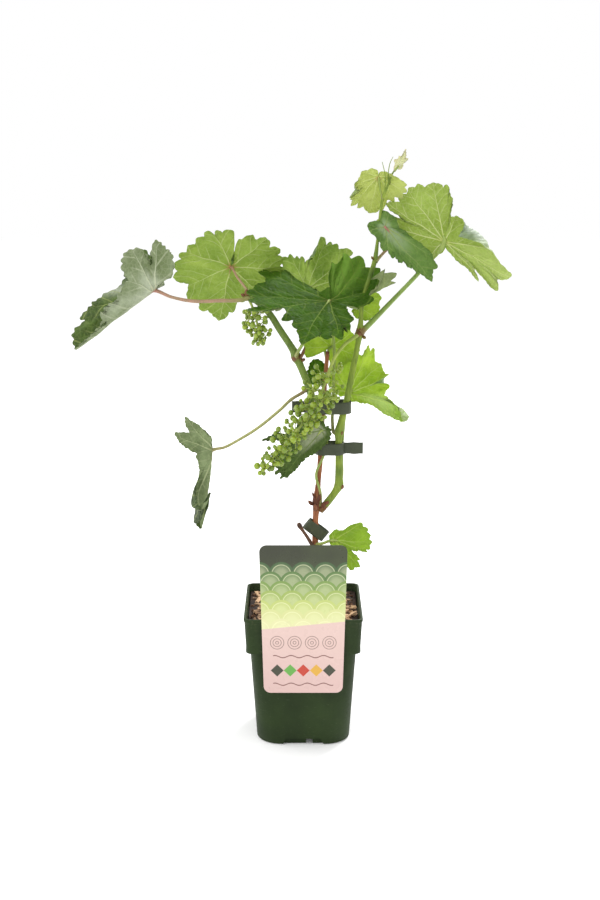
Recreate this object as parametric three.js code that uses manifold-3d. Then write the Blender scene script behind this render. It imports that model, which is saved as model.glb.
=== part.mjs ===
// A young grapevine in a square one-litre nursery pot.
//
// Millimetres, +Z up, -Y to the front. The origin is the middle of the pot's flat underside.
// The vine has a brown cane, two green shoots that leave it, lobed leaves on long petioles
// and two bunches of unripe berries. Three loops of tying tape hold the stems together, and
// a picture card hangs over the front of the pot's rim. One function makes every limb, one
// makes every leaf and one makes every bunch, each from a few named sizes.

import * as THREE from 'three';
import { mergeVertices } from 'three/addons/utils/BufferGeometryUtils.js';
import Module from 'manifold-3d';

const wasm = await Module();
wasm.setup();

// ---------------------------------------------------------------- driving dimensions

const CLEARANCE = 0.35; // air between a piece and what carries it

const POT = {
  height: 127,
  rimHalf: 55, // half the outer width at the rim
  collarHalf: 53.2, // at the collar's lower edge
  collarHeight: 34,
  shoulderHalf: 49.2, // body just under the collar
  baseHalf: 44,
  rimRadius: 7, // corner radii
  shoulderRadius: 9,
  baseRadius: 24,
  wall: 1.5,
  floor: 7.2,
  recess: { width: 39, height: 5.5, depth: 3.2 },
  drain: { width: 6, start: 15, end: 34, offset: 5.7 },
  slot: { width: 29, height: 4, below: 9 },
};

const SOIL = { top: 116, gap: 0.4, chips: 26, chipLength: [7, 16], chipThickness: [1.4, 3.2] };

const CARD = {
  front: -57.1, // y of the front face
  thickness: 0.9,
  bottom: 57,
  top: 199,
  bottomWidth: 73,
  topWidth: 80,
  cornerRadius: 6.5,
  tongue: { width: 22, depth: 10, bridge: 1.2 },
};

const TAPE = { width: 11, thickness: 0.8 };

// Loops of tape: the ends and depth of each loop, its place, and its loose tail if any.
const TIES = {
  tie_low: { left: 1, right: 23, depth: 8, y: 0, z: 197.5, slope: 37 },
  tie_middle: { left: 11.5, right: 37.5, depth: 15, y: -1.5, z: 276.5, tail: 18 },
  tie_top: { left: 2.5, right: 43.8, depth: 18, y: -1.6, z: 315.5, tail: -13 },
};

const LIMB_SIDES = 8;
const PETIOLE_SIDES = 5;
const LIMB_STEP = 14; // length of a limb between rings
const PETIOLE_STEP = 12;

const LEAF = {
  thickness: 1.2,
  rings: [0.55, 1],
  angleStep: 26, // widest step between points of the rim
  notch: 0.07, // outline radius where the petiole joins
  curlBlend: 50, // angle over which the midrib's curl gives way to the half's own
  creaseWidth: 0.16, // part of the length over which a fold turns
  waves: 5,
  waveHeight: 0.03, // part of the length
  petioleSunk: 0.14, // part of the length that the petiole runs into the blade
};

const BERRY = { detail: 0, pedicelRadius: 0.55, core: 0.35 }; // core: part of the reach left bare

// ------------------------------------------------------------------------- materials

function material(color, roughness) {
  return new THREE.MeshStandardMaterial({ color, roughness, metalness: 0 });
}

const POT_GREEN = material('#3c4a30', 0.42);
const SOIL_BROWN = material('#4a3226', 0.95);
const CARD_PRINT = material('#c9b7a6', 0.35);
const OLD_WOOD = material('#7c4a30', 0.8);
const GREEN_WOOD = material('#6f8a3c', 0.55);
const TAPE_GREEN = material('#444c38', 0.5);
const LEAF_GREEN = material('#5f8a3a', 0.6);
const BERRY_GREEN = material('#86a845', 0.5);

// --------------------------------------------------------------------------- helpers

const point = (x, y, z) => new THREE.Vector3(x, y, z);
const radians = THREE.MathUtils.degToRad;

// A repeatable source of numbers from 0 to 1.
function seeded(seed) {
  let state = seed * 7919 + 17;
  return () => {
    state = (state * 16807) % 2147483647;
    return state / 2147483647;
  };
}

function middle(ring) {
  const sum = ring.reduce((total, p) => total.add(p), point(0, 0, 0));
  return sum.divideScalar(ring.length);
}

// Closed skin over rings that all have the same number of points, with a fan at each end.
function skin(rings, firstPole = middle(rings[0]), lastPole = middle(rings.at(-1))) {
  const count = rings[0].length;
  const positions = [firstPole, ...rings.flat(), lastPole].flatMap((p) => [p.x, p.y, p.z]);
  const last = rings.length * count + 1;
  const index = [];
  for (let i = 0; i < count; i += 1) {
    const next = (i + 1) % count;
    index.push(0, 1 + next, 1 + i);
    index.push(last, last - count + i, last - count + next);
    for (let r = 0; r < rings.length - 1; r += 1) {
      const low = 1 + r * count;
      const high = low + count;
      index.push(low + i, low + next, high + next);
      index.push(low + i, high + next, high + i);
    }
  }
  const geometry = new THREE.BufferGeometry();
  geometry.setAttribute('position', new THREE.Float32BufferAttribute(positions, 3));
  geometry.setIndex(index);
  return geometry;
}

// The closed solid of a geometry, with its faces turned out.
function solid(geometry) {
  const bare = geometry.clone();
  bare.deleteAttribute('normal');
  bare.deleteAttribute('uv');
  const merged = mergeVertices(bare, 1e-4);
  const vertProperties = new Float32Array(merged.attributes.position.array);
  const corner = merged.index.array;
  const triangles = [];
  let volume = 0;
  const at = (i) => point(...vertProperties.subarray(3 * i, 3 * i + 3));
  for (let i = 0; i < corner.length; i += 3) {
    const [a, b, c] = [corner[i], corner[i + 1], corner[i + 2]];
    if (a !== b && b !== c && c !== a) {
      triangles.push(a, b, c);
      volume += at(a).dot(at(b).cross(at(c)));
    }
  }
  if (volume < 0) {
    triangles.reverse();
  }
  const triVerts = new Uint32Array(triangles);
  return new wasm.Manifold(new wasm.Mesh({ numProp: 3, vertProperties, triVerts }));
}

const join = (...solids) => solids.reduce((whole, piece) => whole.add(piece));

// What is left of a solid when others are cut from it: its largest scrap.
function trimmed(whole, cutters) {
  const cut = cutters.reduce((rest, cutter) => rest.subtract(cutter), whole);
  const scraps = cut.decompose();
  return scraps.reduce((best, scrap) => (scrap.volume() > best.volume() ? scrap : best));
}

function meshOf(name, body, finish) {
  const { vertProperties, triVerts } = body.getMesh();
  const geometry = new THREE.BufferGeometry();
  geometry.setAttribute('position', new THREE.BufferAttribute(vertProperties, 3));
  geometry.setIndex(new THREE.BufferAttribute(triVerts, 1));
  const mesh = new THREE.Mesh(geometry, finish);
  mesh.name = name;
  return mesh;
}

function boxAt(size, centre, turn = 0) {
  const geometry = new THREE.BoxGeometry(...size);
  geometry.rotateY(turn);
  geometry.translate(...centre);
  return solid(geometry);
}

// ------------------------------------------------------------------------------ limbs

// One tapering limb along a smooth curve. Each stop is [x, y, z, radius].
function limb(stops, { sides = LIMB_SIDES, step = LIMB_STEP, grow = 0 } = {}) {
  const curve = new THREE.CatmullRomCurve3(stops.map(([x, y, z]) => point(x, y, z)));
  const steps = Math.max(2, Math.ceil(curve.getLength() / step));
  const frames = curve.computeFrenetFrames(steps, false);
  const rings = [];
  for (let i = 0; i <= steps; i += 1) {
    const t = curve.getUtoTmapping(i / steps);
    const centre = curve.getPoint(t);
    const place = t * (stops.length - 1);
    const low = Math.min(Math.floor(place), stops.length - 2);
    const radius = THREE.MathUtils.lerp(stops[low][3], stops[low + 1][3], place - low) + grow;
    const ring = [];
    for (let k = 0; k < sides; k += 1) {
      const angle = (2 * Math.PI * k) / sides;
      ring.push(
        centre
          .clone()
          .addScaledVector(frames.normals[i], radius * Math.cos(angle))
          .addScaledVector(frames.binormals[i], radius * Math.sin(angle)),
      );
    }
    rings.push(ring);
  }
  return solid(skin(rings));
}

const CANE = [
  [10.5, 0, 116.35, 4.4],
  [11, 0, 124, 3.3],
  [11.3, 0, 184, 2.8],
  [12, 0, 214, 2.9],
  [13, 0, 226, 4.2],
  [13.6, 0.5, 236, 2.7],
  [15.7, 2, 262, 2.3],
  [17, 3, 287, 2.2],
  [18.8, 4, 316, 2],
  [20.7, 5, 345, 1.8],
  [22.5, 5, 366, 1.5],
];

const DEAD_TWIG = [
  [11, -1, 178, 1.8],
  [5, -6, 190, 1.6],
  [-1, -8.5, 200, 1.5],
  [-3.6, -9, 204.5, 2.2],
  [-4.2, -9, 206.5, 1.2],
];

const RIGHT_SHOOT = [
  [16, -0.5, 216, 3],
  [21, -2, 222.5, 3.4],
  [30, -3, 235, 3.2],
  [33.6, -4, 242, 4],
  [34, -4, 250, 3],
  [33.6, -4, 284, 2.7],
  [33.2, -4, 292, 3.7],
  [35, -4, 301, 2.8],
  [39.3, -4, 318, 2.7],
  [44.6, -4, 346, 2.6],
  [50.6, -3, 378, 2.6],
  [51.6, -3, 385, 3.8],
  [52.2, -3, 393, 2.6],
  [53.6, -3, 412, 2.2],
  [64.5, -2, 450, 2.5],
  [66.7, -2, 467, 1.9],
  [71, 0, 505, 1.7],
  [75.3, 0, 516, 1.4],
  [79, 1, 526, 1],
  [84, 1, 533, 0.8],
];

const LEFT_SHOOT = [
  [18, 3, 296, 2.6],
  [13, -3, 310, 3],
  [8, -6, 325, 3.4],
  [4, -8, 338, 3.4],
  [-4, -9, 358, 3.6],
  [-6.4, -9, 363, 4.8],
  [-9, -9.5, 369, 3.5],
  [-21, -11, 388, 3],
  [-32, -13, 405, 2.8],
  [-47, -15, 418, 2.6],
  [-51, -15, 419.5, 3],
  [-53, -15, 420, 1.6],
];

// ------------------------------------------------------------------------------- pot

function roundedSquare(half, radius, z, perCorner = 5) {
  const ring = [];
  const reach = half - radius;
  for (let corner = 0; corner < 4; corner += 1) {
    const turn = (Math.PI / 2) * corner;
    const cx = reach * (corner === 0 || corner === 3 ? 1 : -1);
    const cy = reach * (corner < 2 ? 1 : -1);
    for (let k = 0; k < perCorner; k += 1) {
      const angle = turn + (Math.PI / 2) * (k / (perCorner - 1));
      ring.push(point(cx + radius * Math.cos(angle), cy + radius * Math.sin(angle), z));
    }
  }
  return ring;
}

const collarFoot = POT.height - POT.collarHeight;

function bodyHalf(z) {
  return THREE.MathUtils.mapLinear(z, 0, collarFoot, POT.baseHalf, POT.shoulderHalf);
}

function bodyRadius(z) {
  return THREE.MathUtils.mapLinear(z, 0, collarFoot, POT.baseRadius, POT.shoulderRadius);
}

// The pot's inside, or with no inset its outside, from one height to another.
function potVolume(inset, bottom, top) {
  const ledge = collarFoot + (inset > 0 ? POT.wall : 0);
  const collarHalfAt = (z) =>
    THREE.MathUtils.mapLinear(z, collarFoot, POT.height, POT.collarHalf, POT.rimHalf);
  const ringAt = (half, radius, z) => roundedSquare(half - inset, radius - inset, z);
  return solid(
    skin([
      ringAt(bodyHalf(bottom), bodyRadius(bottom), bottom),
      ringAt(bodyHalf(collarFoot / 2), bodyRadius(collarFoot / 2), collarFoot / 2),
      ringAt(bodyHalf(ledge), bodyRadius(ledge), ledge),
      ringAt(collarHalfAt(ledge), POT.rimRadius, ledge + 0.6),
      ringAt(collarHalfAt(top), POT.rimRadius, top),
    ]),
  );
}

function makePot() {
  const { recess, drain, slot } = POT;
  let pot = potVolume(0, 0, POT.height);
  pot = pot.subtract(potVolume(POT.wall, POT.floor, POT.height + 1));
  for (let side = 0; side < 4; side += 1) {
    const angle = 90 * side;
    const notch = new THREE.Shape([
      new THREE.Vector2(-recess.width / 2, -1),
      new THREE.Vector2(recess.width / 2, -1),
      new THREE.Vector2(recess.width / 2 - recess.depth, recess.height),
      new THREE.Vector2(recess.depth - recess.width / 2, recess.height),
    ]);
    const notchShape = new THREE.ExtrudeGeometry(notch, { depth: 12, bevelEnabled: false });
    notchShape.rotateX(Math.PI / 2);
    notchShape.translate(0, recess.depth - POT.baseHalf, 0);
    const grooveLength = drain.end - drain.start + recess.depth;
    const groove = new THREE.BoxGeometry(drain.width, grooveLength + 8, recess.height);
    groove.translate(drain.offset, -drain.start - (grooveLength + 8) / 2, recess.height / 2 - 1);
    const hole = new THREE.CylinderGeometry(drain.width / 2, drain.width / 2, 20, 12);
    hole.rotateX(Math.PI / 2);
    hole.translate(drain.offset, -drain.start - drain.width / 2, 0);
    const window = new THREE.BoxGeometry(slot.width, 12, slot.height);
    window.translate(0, -POT.rimHalf, POT.height - slot.below);
    for (const cutter of [notchShape, groove, hole, window]) {
      pot = pot.subtract(solid(cutter).rotate([0, 0, angle]));
    }
  }
  return pot;
}

// Potting soil up to below the rim, with bark chips pressed into its surface.
function makeSoil() {
  const random = seeded(5);
  let soil = potVolume(POT.wall + SOIL.gap, POT.floor + SOIL.gap, SOIL.top - 1);
  const reach = POT.rimHalf - POT.wall - 9;
  for (let i = 0; i < SOIL.chips; i += 1) {
    const length = THREE.MathUtils.lerp(...SOIL.chipLength, random());
    const thickness = THREE.MathUtils.lerp(...SOIL.chipThickness, random());
    const chip = new THREE.BoxGeometry(length, length * 0.35, thickness);
    chip.rotateY((random() - 0.5) * 0.5);
    chip.rotateZ(random() * Math.PI);
    const x = (random() * 2 - 1) * reach;
    const y = (random() * 2 - 1) * reach;
    chip.translate(x, y, SOIL.top - 0.8 + random() * 1.6);
    soil = soil.add(solid(chip));
  }
  const foot = boxAt([16, 16, 12], [CANE[0][0], 0, SOIL.top + 6]);
  const flap = boxAt([CARD.tongue.width + 2, 4, 16], [0, POT.wall + 1 - POT.collarHalf, SOIL.top + 8]);
  return trimmed(soil, [foot, flap]);
}

// ------------------------------------------------------------------------------ card

function makeCard() {
  const { tongue } = CARD;
  const card = new THREE.Shape();
  const low = CARD.bottomWidth / 2;
  const high = CARD.topWidth / 2;
  const r = CARD.cornerRadius;
  card.moveTo(-low + r, CARD.bottom);
  card.lineTo(low - r, CARD.bottom);
  card.quadraticCurveTo(low, CARD.bottom, low, CARD.bottom + r);
  card.lineTo(high, CARD.top - r);
  card.quadraticCurveTo(high, CARD.top, high - r, CARD.top);
  card.lineTo(-high + r, CARD.top);
  card.quadraticCurveTo(-high, CARD.top, -high, CARD.top - r);
  card.lineTo(-low, CARD.bottom + r);
  card.quadraticCurveTo(-low, CARD.bottom, -low + r, CARD.bottom);
  const options = { depth: CARD.thickness, bevelEnabled: false, curveSegments: 5 };
  const plate = new THREE.ExtrudeGeometry(card, options);
  plate.rotateX(Math.PI / 2);
  plate.translate(0, CARD.front + CARD.thickness, 0);
  const inside = POT.wall + CLEARANCE - POT.collarHalf;
  const bridgeBottom = POT.height + CLEARANCE;
  const bridgeLength = inside + CARD.thickness - CARD.front;
  const bridge = boxAt(
    [tongue.width, bridgeLength, tongue.bridge],
    [0, CARD.front + bridgeLength / 2, bridgeBottom + tongue.bridge / 2],
  );
  const flapTop = bridgeBottom + tongue.bridge / 2;
  const flapBottom = POT.height - tongue.depth;
  const flap = boxAt(
    [tongue.width, CARD.thickness, flapTop - flapBottom],
    [0, inside + CARD.thickness / 2, (flapTop + flapBottom) / 2],
  );
  return join(solid(plate), bridge, flap);
}

// ------------------------------------------------------------------------------ ties

// A band round the stems: a flat loop with round ends and an optional tail.
function makeTie({ left, right, depth, y, z, tail = 0, slope = 0 }) {
  const half = TAPE.width / 2;
  const capsule = (grow) => {
    const radius = depth / 2 + grow;
    const path = new THREE.Path();
    path.absarc(right - depth / 2, 0, radius, -Math.PI / 2, Math.PI / 2, false);
    path.absarc(left + depth / 2, 0, radius, Math.PI / 2, 1.5 * Math.PI, false);
    return path.getPoints(6);
  };
  const outline = new THREE.Shape(capsule(TAPE.thickness));
  outline.holes.push(new THREE.Path(capsule(0)));
  const options = { depth: TAPE.width, bevelEnabled: false };
  const loop = new THREE.ExtrudeGeometry(outline, options);
  loop.translate(0, 0, -half);
  let tie = solid(loop);
  if (tail !== 0) {
    const end = tail > 0 ? right : left;
    const size = [Math.abs(tail) + 2, TAPE.thickness * 1.6, TAPE.width];
    tie = tie.add(boxAt(size, [end + tail / 2 + Math.sign(tail) * 0.2, 0, 0]));
  }
  const middleX = (left + right) / 2;
  return tie
    .translate([-middleX, 0, 0])
    .rotate([0, slope, 0])
    .translate([middleX, y, z]);
}

// ---------------------------------------------------------------------------- leaves

// A blade is drawn from its junction with the petiole. The first leg of its frame runs
// along the midrib, and a roll of 0 turns the upper face to the front, 180 the underside.
// The midrib itself curls by `bend` degrees, below 0 towards the underside.
function bladeFrame({ junction, tip, roll, bend }) {
  const start = point(...junction);
  const chord = point(...tip).sub(start);
  const turn = radians(bend);
  const length = chord.length() * (turn === 0 ? 1 : turn / 2 / Math.sin(turn / 2));
  const along = chord.normalize();
  const front = point(0, -1, 0.2);
  const normal = front.addScaledVector(along, -front.dot(along)).normalize();
  normal.applyAxisAngle(along, radians(roll));
  const across = along.clone().cross(normal);
  along.applyAxisAngle(across, -turn / 2);
  normal.applyAxisAngle(across, -turn / 2);
  return { start, along, normal, across, length };
}

// Stops of half an outline from the tip at 0 degrees to the notch at 180: each is an angle
// from the midrib and a radius as a part of the midrib's length, lobes and bays by turns.
const outlineStops = (half) => [[0, 1], ...half.outline, [180, LEAF.notch]];

function outlineRadius(half, angle) {
  const stops = outlineStops(half);
  const place = Math.max(1, stops.findIndex(([stop]) => stop >= angle));
  const [from, low] = stops[place - 1];
  const [to, high] = stops[place];
  const ease = (1 - Math.cos((Math.PI * (angle - from)) / (to - from))) / 2;
  return low + (high - low) * ease;
}

// Angles at which half the rim is sampled: its stops, and even steps between them.
function rimAngles(half) {
  const angles = [];
  const stops = outlineStops(half);
  for (let i = 1; i < stops.length; i += 1) {
    const [from, to] = [stops[i - 1][0], stops[i][0]];
    const pieces = Math.ceil((to - from) / LEAF.angleStep);
    for (let k = 0; k < pieces; k += 1) {
      angles.push(from + ((to - from) * k) / pieces);
    }
  }
  return angles;
}

// A point of the blade on the ray at a signed angle from the midrib, at a part of the way
// out. Each ray curls by its own amount, and each half folds up along the midrib.
function bladePoint(frame, spec, angle, part, offset) {
  const half = angle < 0 ? spec.left : spec.right;
  const steer = radians(Math.abs(angle));
  const reach = frame.length * outlineRadius(half, Math.abs(angle));
  const blend = THREE.MathUtils.smoothstep(Math.abs(angle), 0, LEAF.curlBlend);
  const curl = radians(THREE.MathUtils.lerp(spec.bend, half.curl, blend)) || 1e-4;
  const out = (reach / curl) * Math.sin(curl * part);
  const ripple = Math.sin(radians(angle) * LEAF.waves) * Math.sin(steer);
  const wave = LEAF.waveHeight * frame.length * part * part * ripple;
  const rise = (reach / curl) * (1 - Math.cos(curl * part)) + wave + offset;
  const side = out * Math.sin(steer);
  const crease = THREE.MathUtils.smoothstep(side, 0, LEAF.creaseWidth * frame.length);
  const fold = radians(half.fold ?? 0) * crease;
  const across = side * Math.cos(fold) - rise * Math.sin(fold);
  const up = side * Math.sin(fold) + rise * Math.cos(fold);
  return frame.start
    .clone()
    .addScaledVector(frame.along, out * Math.cos(steer))
    .addScaledVector(frame.across, angle < 0 ? -across : across)
    .addScaledVector(frame.normal, up);
}

function makeBlade(frame, spec) {
  const angles = [
    -180,
    ...rimAngles(spec.left).slice(1).map((angle) => -angle).reverse(),
    ...rimAngles(spec.right),
  ];
  const half = LEAF.thickness / 2;
  const ringAt = (part, offset) =>
    angles.map((angle) => bladePoint(frame, spec, angle, part, offset));
  const upper = LEAF.rings.map((part) => ringAt(part, half));
  const lower = LEAF.rings.map((part) => ringAt(part, -half)).reverse();
  const top = bladePoint(frame, spec, 0, 0, half);
  const bottom = bladePoint(frame, spec, 0, 0, -half);
  return solid(skin([...upper, ...lower], top, bottom));
}

// A leaf is its blade with the petiole run into it. The petiole starts inside the stem
// that carries it and is trimmed back to that stem's bark.
function makeLeaf(spec, carriers) {
  const frame = bladeFrame(spec);
  const radius = spec.petiole.at(-1)[3];
  const sunk = frame.start.clone().addScaledVector(frame.along, LEAF.petioleSunk * frame.length);
  const stops = [...spec.petiole, [...spec.junction, radius], [...sunk.toArray(), radius * 0.7]];
  const petiole = limb(stops, { sides: PETIOLE_SIDES, step: PETIOLE_STEP });
  return trimmed(join(makeBlade(frame, spec), petiole), carriers);
}

const LEAVES = {
  leaf_far_left: {
    junction: [-133, -30, 426],
    tip: [-202, -38, 375],
    roll: 92,
    bend: 0,
    left: {
      outline: [[8, 0.62], [22, 0.36], [50, 0.4], [63, 0.32], [80, 0.52], [104, 0.54],
        [114, 0.42], [125, 0.6], [148, 0.48], [165, 0.36]],
      fold: 62,
      curl: -12,
    },
    right: {
      outline: [[9, 0.96], [20, 0.86], [30, 0.62], [60, 0.42], [100, 0.4], [150, 0.3]],
      fold: 58,
      curl: 0,
    },
    petiole: [
      [-49, -15.5, 418, 2],
      [-57, -18.5, 416, 1.8],
      [-74, -22, 416, 1.6],
      [-98, -26, 416, 1.5],
      [-117, -29, 420, 1.4],
    ],
  },
  leaf_left: {
    junction: [-66, 12, 443],
    tip: [-79, 41, 390],
    roll: 172,
    bend: -8,
    left: {
      outline: [[17, 0.98], [40, 0.94], [56, 1], [75, 0.9], [96, 0.76], [126, 0.68], [162, 0.58]],
      curl: -14,
    },
    right: {
      outline: [[10, 0.88], [26, 0.66], [57, 0.74], [100, 0.76], [124, 0.75], [152, 0.7],
        [168, 0.58]],
      curl: 8,
    },
    petiole: [
      [-48.5, -14, 419, 1.8],
      [-51, -11.5, 424.5, 1.6],
      [-60, 0, 435, 1.3],
    ],
  },
  leaf_centre: {
    junction: [23, -22, 416],
    tip: [-2, -96, 387],
    roll: 22,
    bend: -16,
    left: {
      outline: [[22, 0.82], [38, 0.66], [51, 0.3], [96, 0.54], [126, 0.8], [139, 0.68],
        [155, 0.8], [168, 0.76]],
      curl: 6,
    },
    right: {
      outline: [[31, 0.68], [54, 0.92], [78, 0.74], [106, 0.88], [118, 0.52], [150, 0.14]],
      curl: 10,
    },
    petiole: [
      [-6, -9, 362, 2],
      [-6, -17, 367, 1.6],
      [2, -28, 382, 1.4],
      [14, -29, 404, 1.3],
    ],
  },
  leaf_upper: {
    junction: [4, 30, 420.5],
    tip: [47, 49, 453],
    roll: 180,
    bend: -6,
    left: {
      outline: [[7, 0.68], [20, 1.04], [38, 0.8], [80, 0.7], [120, 0.5], [155, 0.3]],
      curl: -10,
    },
    right: {
      outline: [[16, 0.7], [31, 0.84], [41, 0.52], [52, 0.46], [71, 0.56], [90, 0.62],
        [130, 0.48], [160, 0.28]],
      curl: -10,
    },
    petiole: [
      [33, -4, 292, 2],
      [28.5, -1, 291, 1.7],
      [27, 1, 300, 1.5],
      [28, 4, 339, 1.4],
      [27, 11, 382, 1.3],
      [15, 26, 408, 1.2],
    ],
  },
  leaf_small: {
    junction: [50, 11, 407],
    tip: [72, 26, 414],
    roll: 180,
    bend: 0,
    left: { outline: [[12, 0.84], [40, 0.76], [61, 0.62], [128, 0.42], [165, 0.3]], curl: -10 },
    right: { outline: [[12, 0.94], [30, 0.7], [60, 0.56], [110, 0.45], [150, 0.3]], curl: -10 },
    petiole: [
      [53, -3, 405, 1.2],
      [52, 5, 405, 1],
    ],
  },
  leaf_middle: {
    junction: [26, 18, 368.5],
    tip: [45, 23, 381],
    roll: 180,
    bend: 0,
    left: { outline: [[18, 1.06], [60, 1.16], [80, 0.9], [106, 0.98], [140, 0.55]], curl: -16 },
    right: { outline: [[40, 0.95], [90, 1], [137, 1.1], [168, 1.14]], curl: -16 },
    petiole: [
      [22.5, 5, 362, 1.3],
      [23, 9, 366, 1.1],
    ],
  },
  leaf_right: {
    junction: [43, 11, 326],
    tip: [73, 28, 351],
    roll: 180,
    bend: -6,
    left: {
      outline: [[25, 0.84], [46, 0.6], [53, 0.9], [59, 1.3], [67, 1.74], [70, 1.3], [74, 0.7],
        [100, 0.24]],
      curl: -14,
    },
    right: {
      outline: [[13, 1.02], [26, 1.16], [34, 0.92], [44, 0.8], [80, 0.68], [120, 0.42],
        [150, 0.26]],
      curl: -10,
    },
    petiole: [
      [33.6, -4, 242, 2],
      [36, 1, 250, 1.6],
      [36, 7, 267, 1.4],
      [38, 11, 297, 1.3],
      [40, 11, 311, 1.2],
    ],
  },
  leaf_dark: {
    junction: [16, 10, 338],
    tip: [10, 16, 357],
    roll: 0,
    bend: 0,
    left: { outline: [[29, 0.75], [64, 0.5], [120, 0.34], [150, 0.3]], curl: -10 },
    right: { outline: [[29, 0.8], [64, 0.5], [120, 0.34], [150, 0.3]], curl: -10 },
    petiole: [
      [19.5, 4.4, 330, 1.1],
      [17.5, 8, 334, 0.9],
    ],
  },
  leaf_behind_bunch: {
    junction: [17, -12.5, 295.5],
    tip: [-21, -18, 251.5],
    roll: 0,
    bend: 0,
    left: { outline: [[14, 0.6], [40, 0.24], [110, 0.14], [150, 0.12]], curl: -6 },
    right: {
      outline: [[12, 0.92], [25, 0.97], [32, 0.72], [39, 0.94], [44, 0.6], [75, 0.36], [120, 0.2],
        [155, 0.12]],
      curl: -6,
    },
    petiole: [
      [16, -1, 221, 1.6],
      [16, -5, 235, 1.3],
      [12, -5, 252, 1.2],
      [19, -4.6, 270, 1.1],
      [22, -4.4, 284, 1.1],
    ],
  },
  leaf_hanging: {
    junction: [-84, -20, 278],
    tip: [-94, -24, 206],
    roll: 90,
    bend: 10,
    left: {
      outline: [[8, 0.8], [17, 0.4], [32, 0.25], [60, 0.24], [84, 0.34], [98, 0.6], [112, 0.5],
        [127, 0.55], [145, 0.4], [165, 0.2]],
      fold: 58,
      curl: -8,
    },
    right: {
      outline: [[8, 0.86], [16, 0.78], [24, 0.46], [42, 0.3], [80, 0.34], [110, 0.45],
        [150, 0.3]],
      fold: 62,
      curl: 0,
    },
    petiole: [
      [5, -7, 334, 2],
      [-1, -9, 330, 1.6],
      [-11, -10, 324, 1.5],
      [-22, -12, 314, 1.4],
      [-42, -14, 298, 1.4],
      [-60, -16, 287, 1.3],
      [-72, -18, 281, 1.3],
    ],
  },
  leaf_low: {
    junction: [29, -14, 191],
    tip: [64, -24, 192],
    roll: 0,
    bend: -10,
    left: { outline: [[22, 0.96], [40, 0.84], [60, 0.36], [120, 0.2]], curl: -10 },
    right: {
      outline: [[10, 0.96], [17, 0.72], [24, 0.46], [33, 0.8], [43, 0.92], [60, 0.88],
        [80, 0.32], [130, 0.16]],
      curl: -10,
    },
    petiole: [
      [11.3, 0, 183, 1.6],
      [18, -7, 186, 1.4],
      [25, -12, 190, 1.2],
    ],
  },
  leaf_top: {
    junction: [67, 3, 524],
    tip: [60, 16, 491],
    roll: 180,
    bend: -8,
    left: {
      outline: [[17, 1], [30, 1], [38, 0.86], [46, 0.98], [60, 0.74], [68, 0.56], [104, 0.4],
        [150, 0.24]],
      curl: -16,
    },
    right: {
      outline: [[13, 0.93], [30, 0.84], [52, 0.88], [84, 0.76], [104, 0.5], [150, 0.26]],
      curl: -14,
    },
    petiole: [
      [71, 0, 504, 1],
      [69, 2, 512, 0.8],
    ],
  },
  leaf_tip: {
    junction: [84.5, 0.5, 533],
    tip: [91, -3, 548],
    roll: 170,
    bend: -20,
    left: { outline: [[20, 0.8], [45, 0.56], [80, 0.4], [130, 0.3]], fold: 35, curl: 0 },
    right: { outline: [[14, 0.94], [40, 0.6], [80, 0.4], [130, 0.3]], fold: 45, curl: 0 },
    petiole: [
      [81, 1, 529, 0.8],
      [83, 0.6, 531, 0.7],
    ],
  },
  leaf_big_right: {
    junction: [128, 10, 466],
    tip: [116, 6, 518],
    roll: 180,
    bend: -14,
    left: {
      outline: [[12, 1.02], [17, 0.72], [26, 0.52], [42, 0.5], [66, 0.44], [98, 0.68],
        [120, 1.08], [130, 1.34], [143, 1.28], [148, 0.9], [152, 0.92], [162, 0.46]],
      curl: -20,
    },
    right: {
      outline: [[24, 1.08], [35, 0.92], [44, 1.18], [50, 0.76], [58, 1.22], [68, 1.22],
        [86, 0.68], [124, 0.38]],
      curl: -12,
    },
    petiole: [
      [52, -3, 385, 3],
      [58, -2, 390, 2.6],
      [82, 9, 413, 2],
      [107, 13, 439, 1.9],
    ],
  },
  leaf_flap: {
    junction: [73, -4, 480],
    tip: [116, -8, 432],
    roll: 0,
    bend: -10,
    left: { outline: [[10, 0.9], [24, 0.42], [50, 0.2], [110, 0.14], [150, 0.14]], curl: -20 },
    right: { outline: [[9, 0.94], [20, 0.62], [34, 0.44], [60, 0.26], [110, 0.18]], curl: -12 },
    petiole: [
      [65, -2, 449, 1.6],
      [72, 2, 456, 1.3],
      [80, 3, 465, 1.2],
      [77, 0, 474, 1.1],
    ],
  },
  leaf_back: {
    junction: [12, 60, 408],
    tip: [0, 92, 380],
    roll: 180,
    bend: -14,
    left: { outline: [[28, 0.8], [54, 0.92], [80, 0.7], [110, 0.8], [150, 0.6]], curl: -14 },
    right: { outline: [[28, 0.8], [54, 0.9], [80, 0.72], [108, 0.84], [150, 0.6]], curl: -14 },
    petiole: [
      [21.3, 5, 349, 1.5],
      [22, 16, 354, 1.4],
      [18, 32, 374, 1.3],
      [14, 50, 394, 1.2],
    ],
  },
};

// --------------------------------------------------------------------------- bunches

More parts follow.
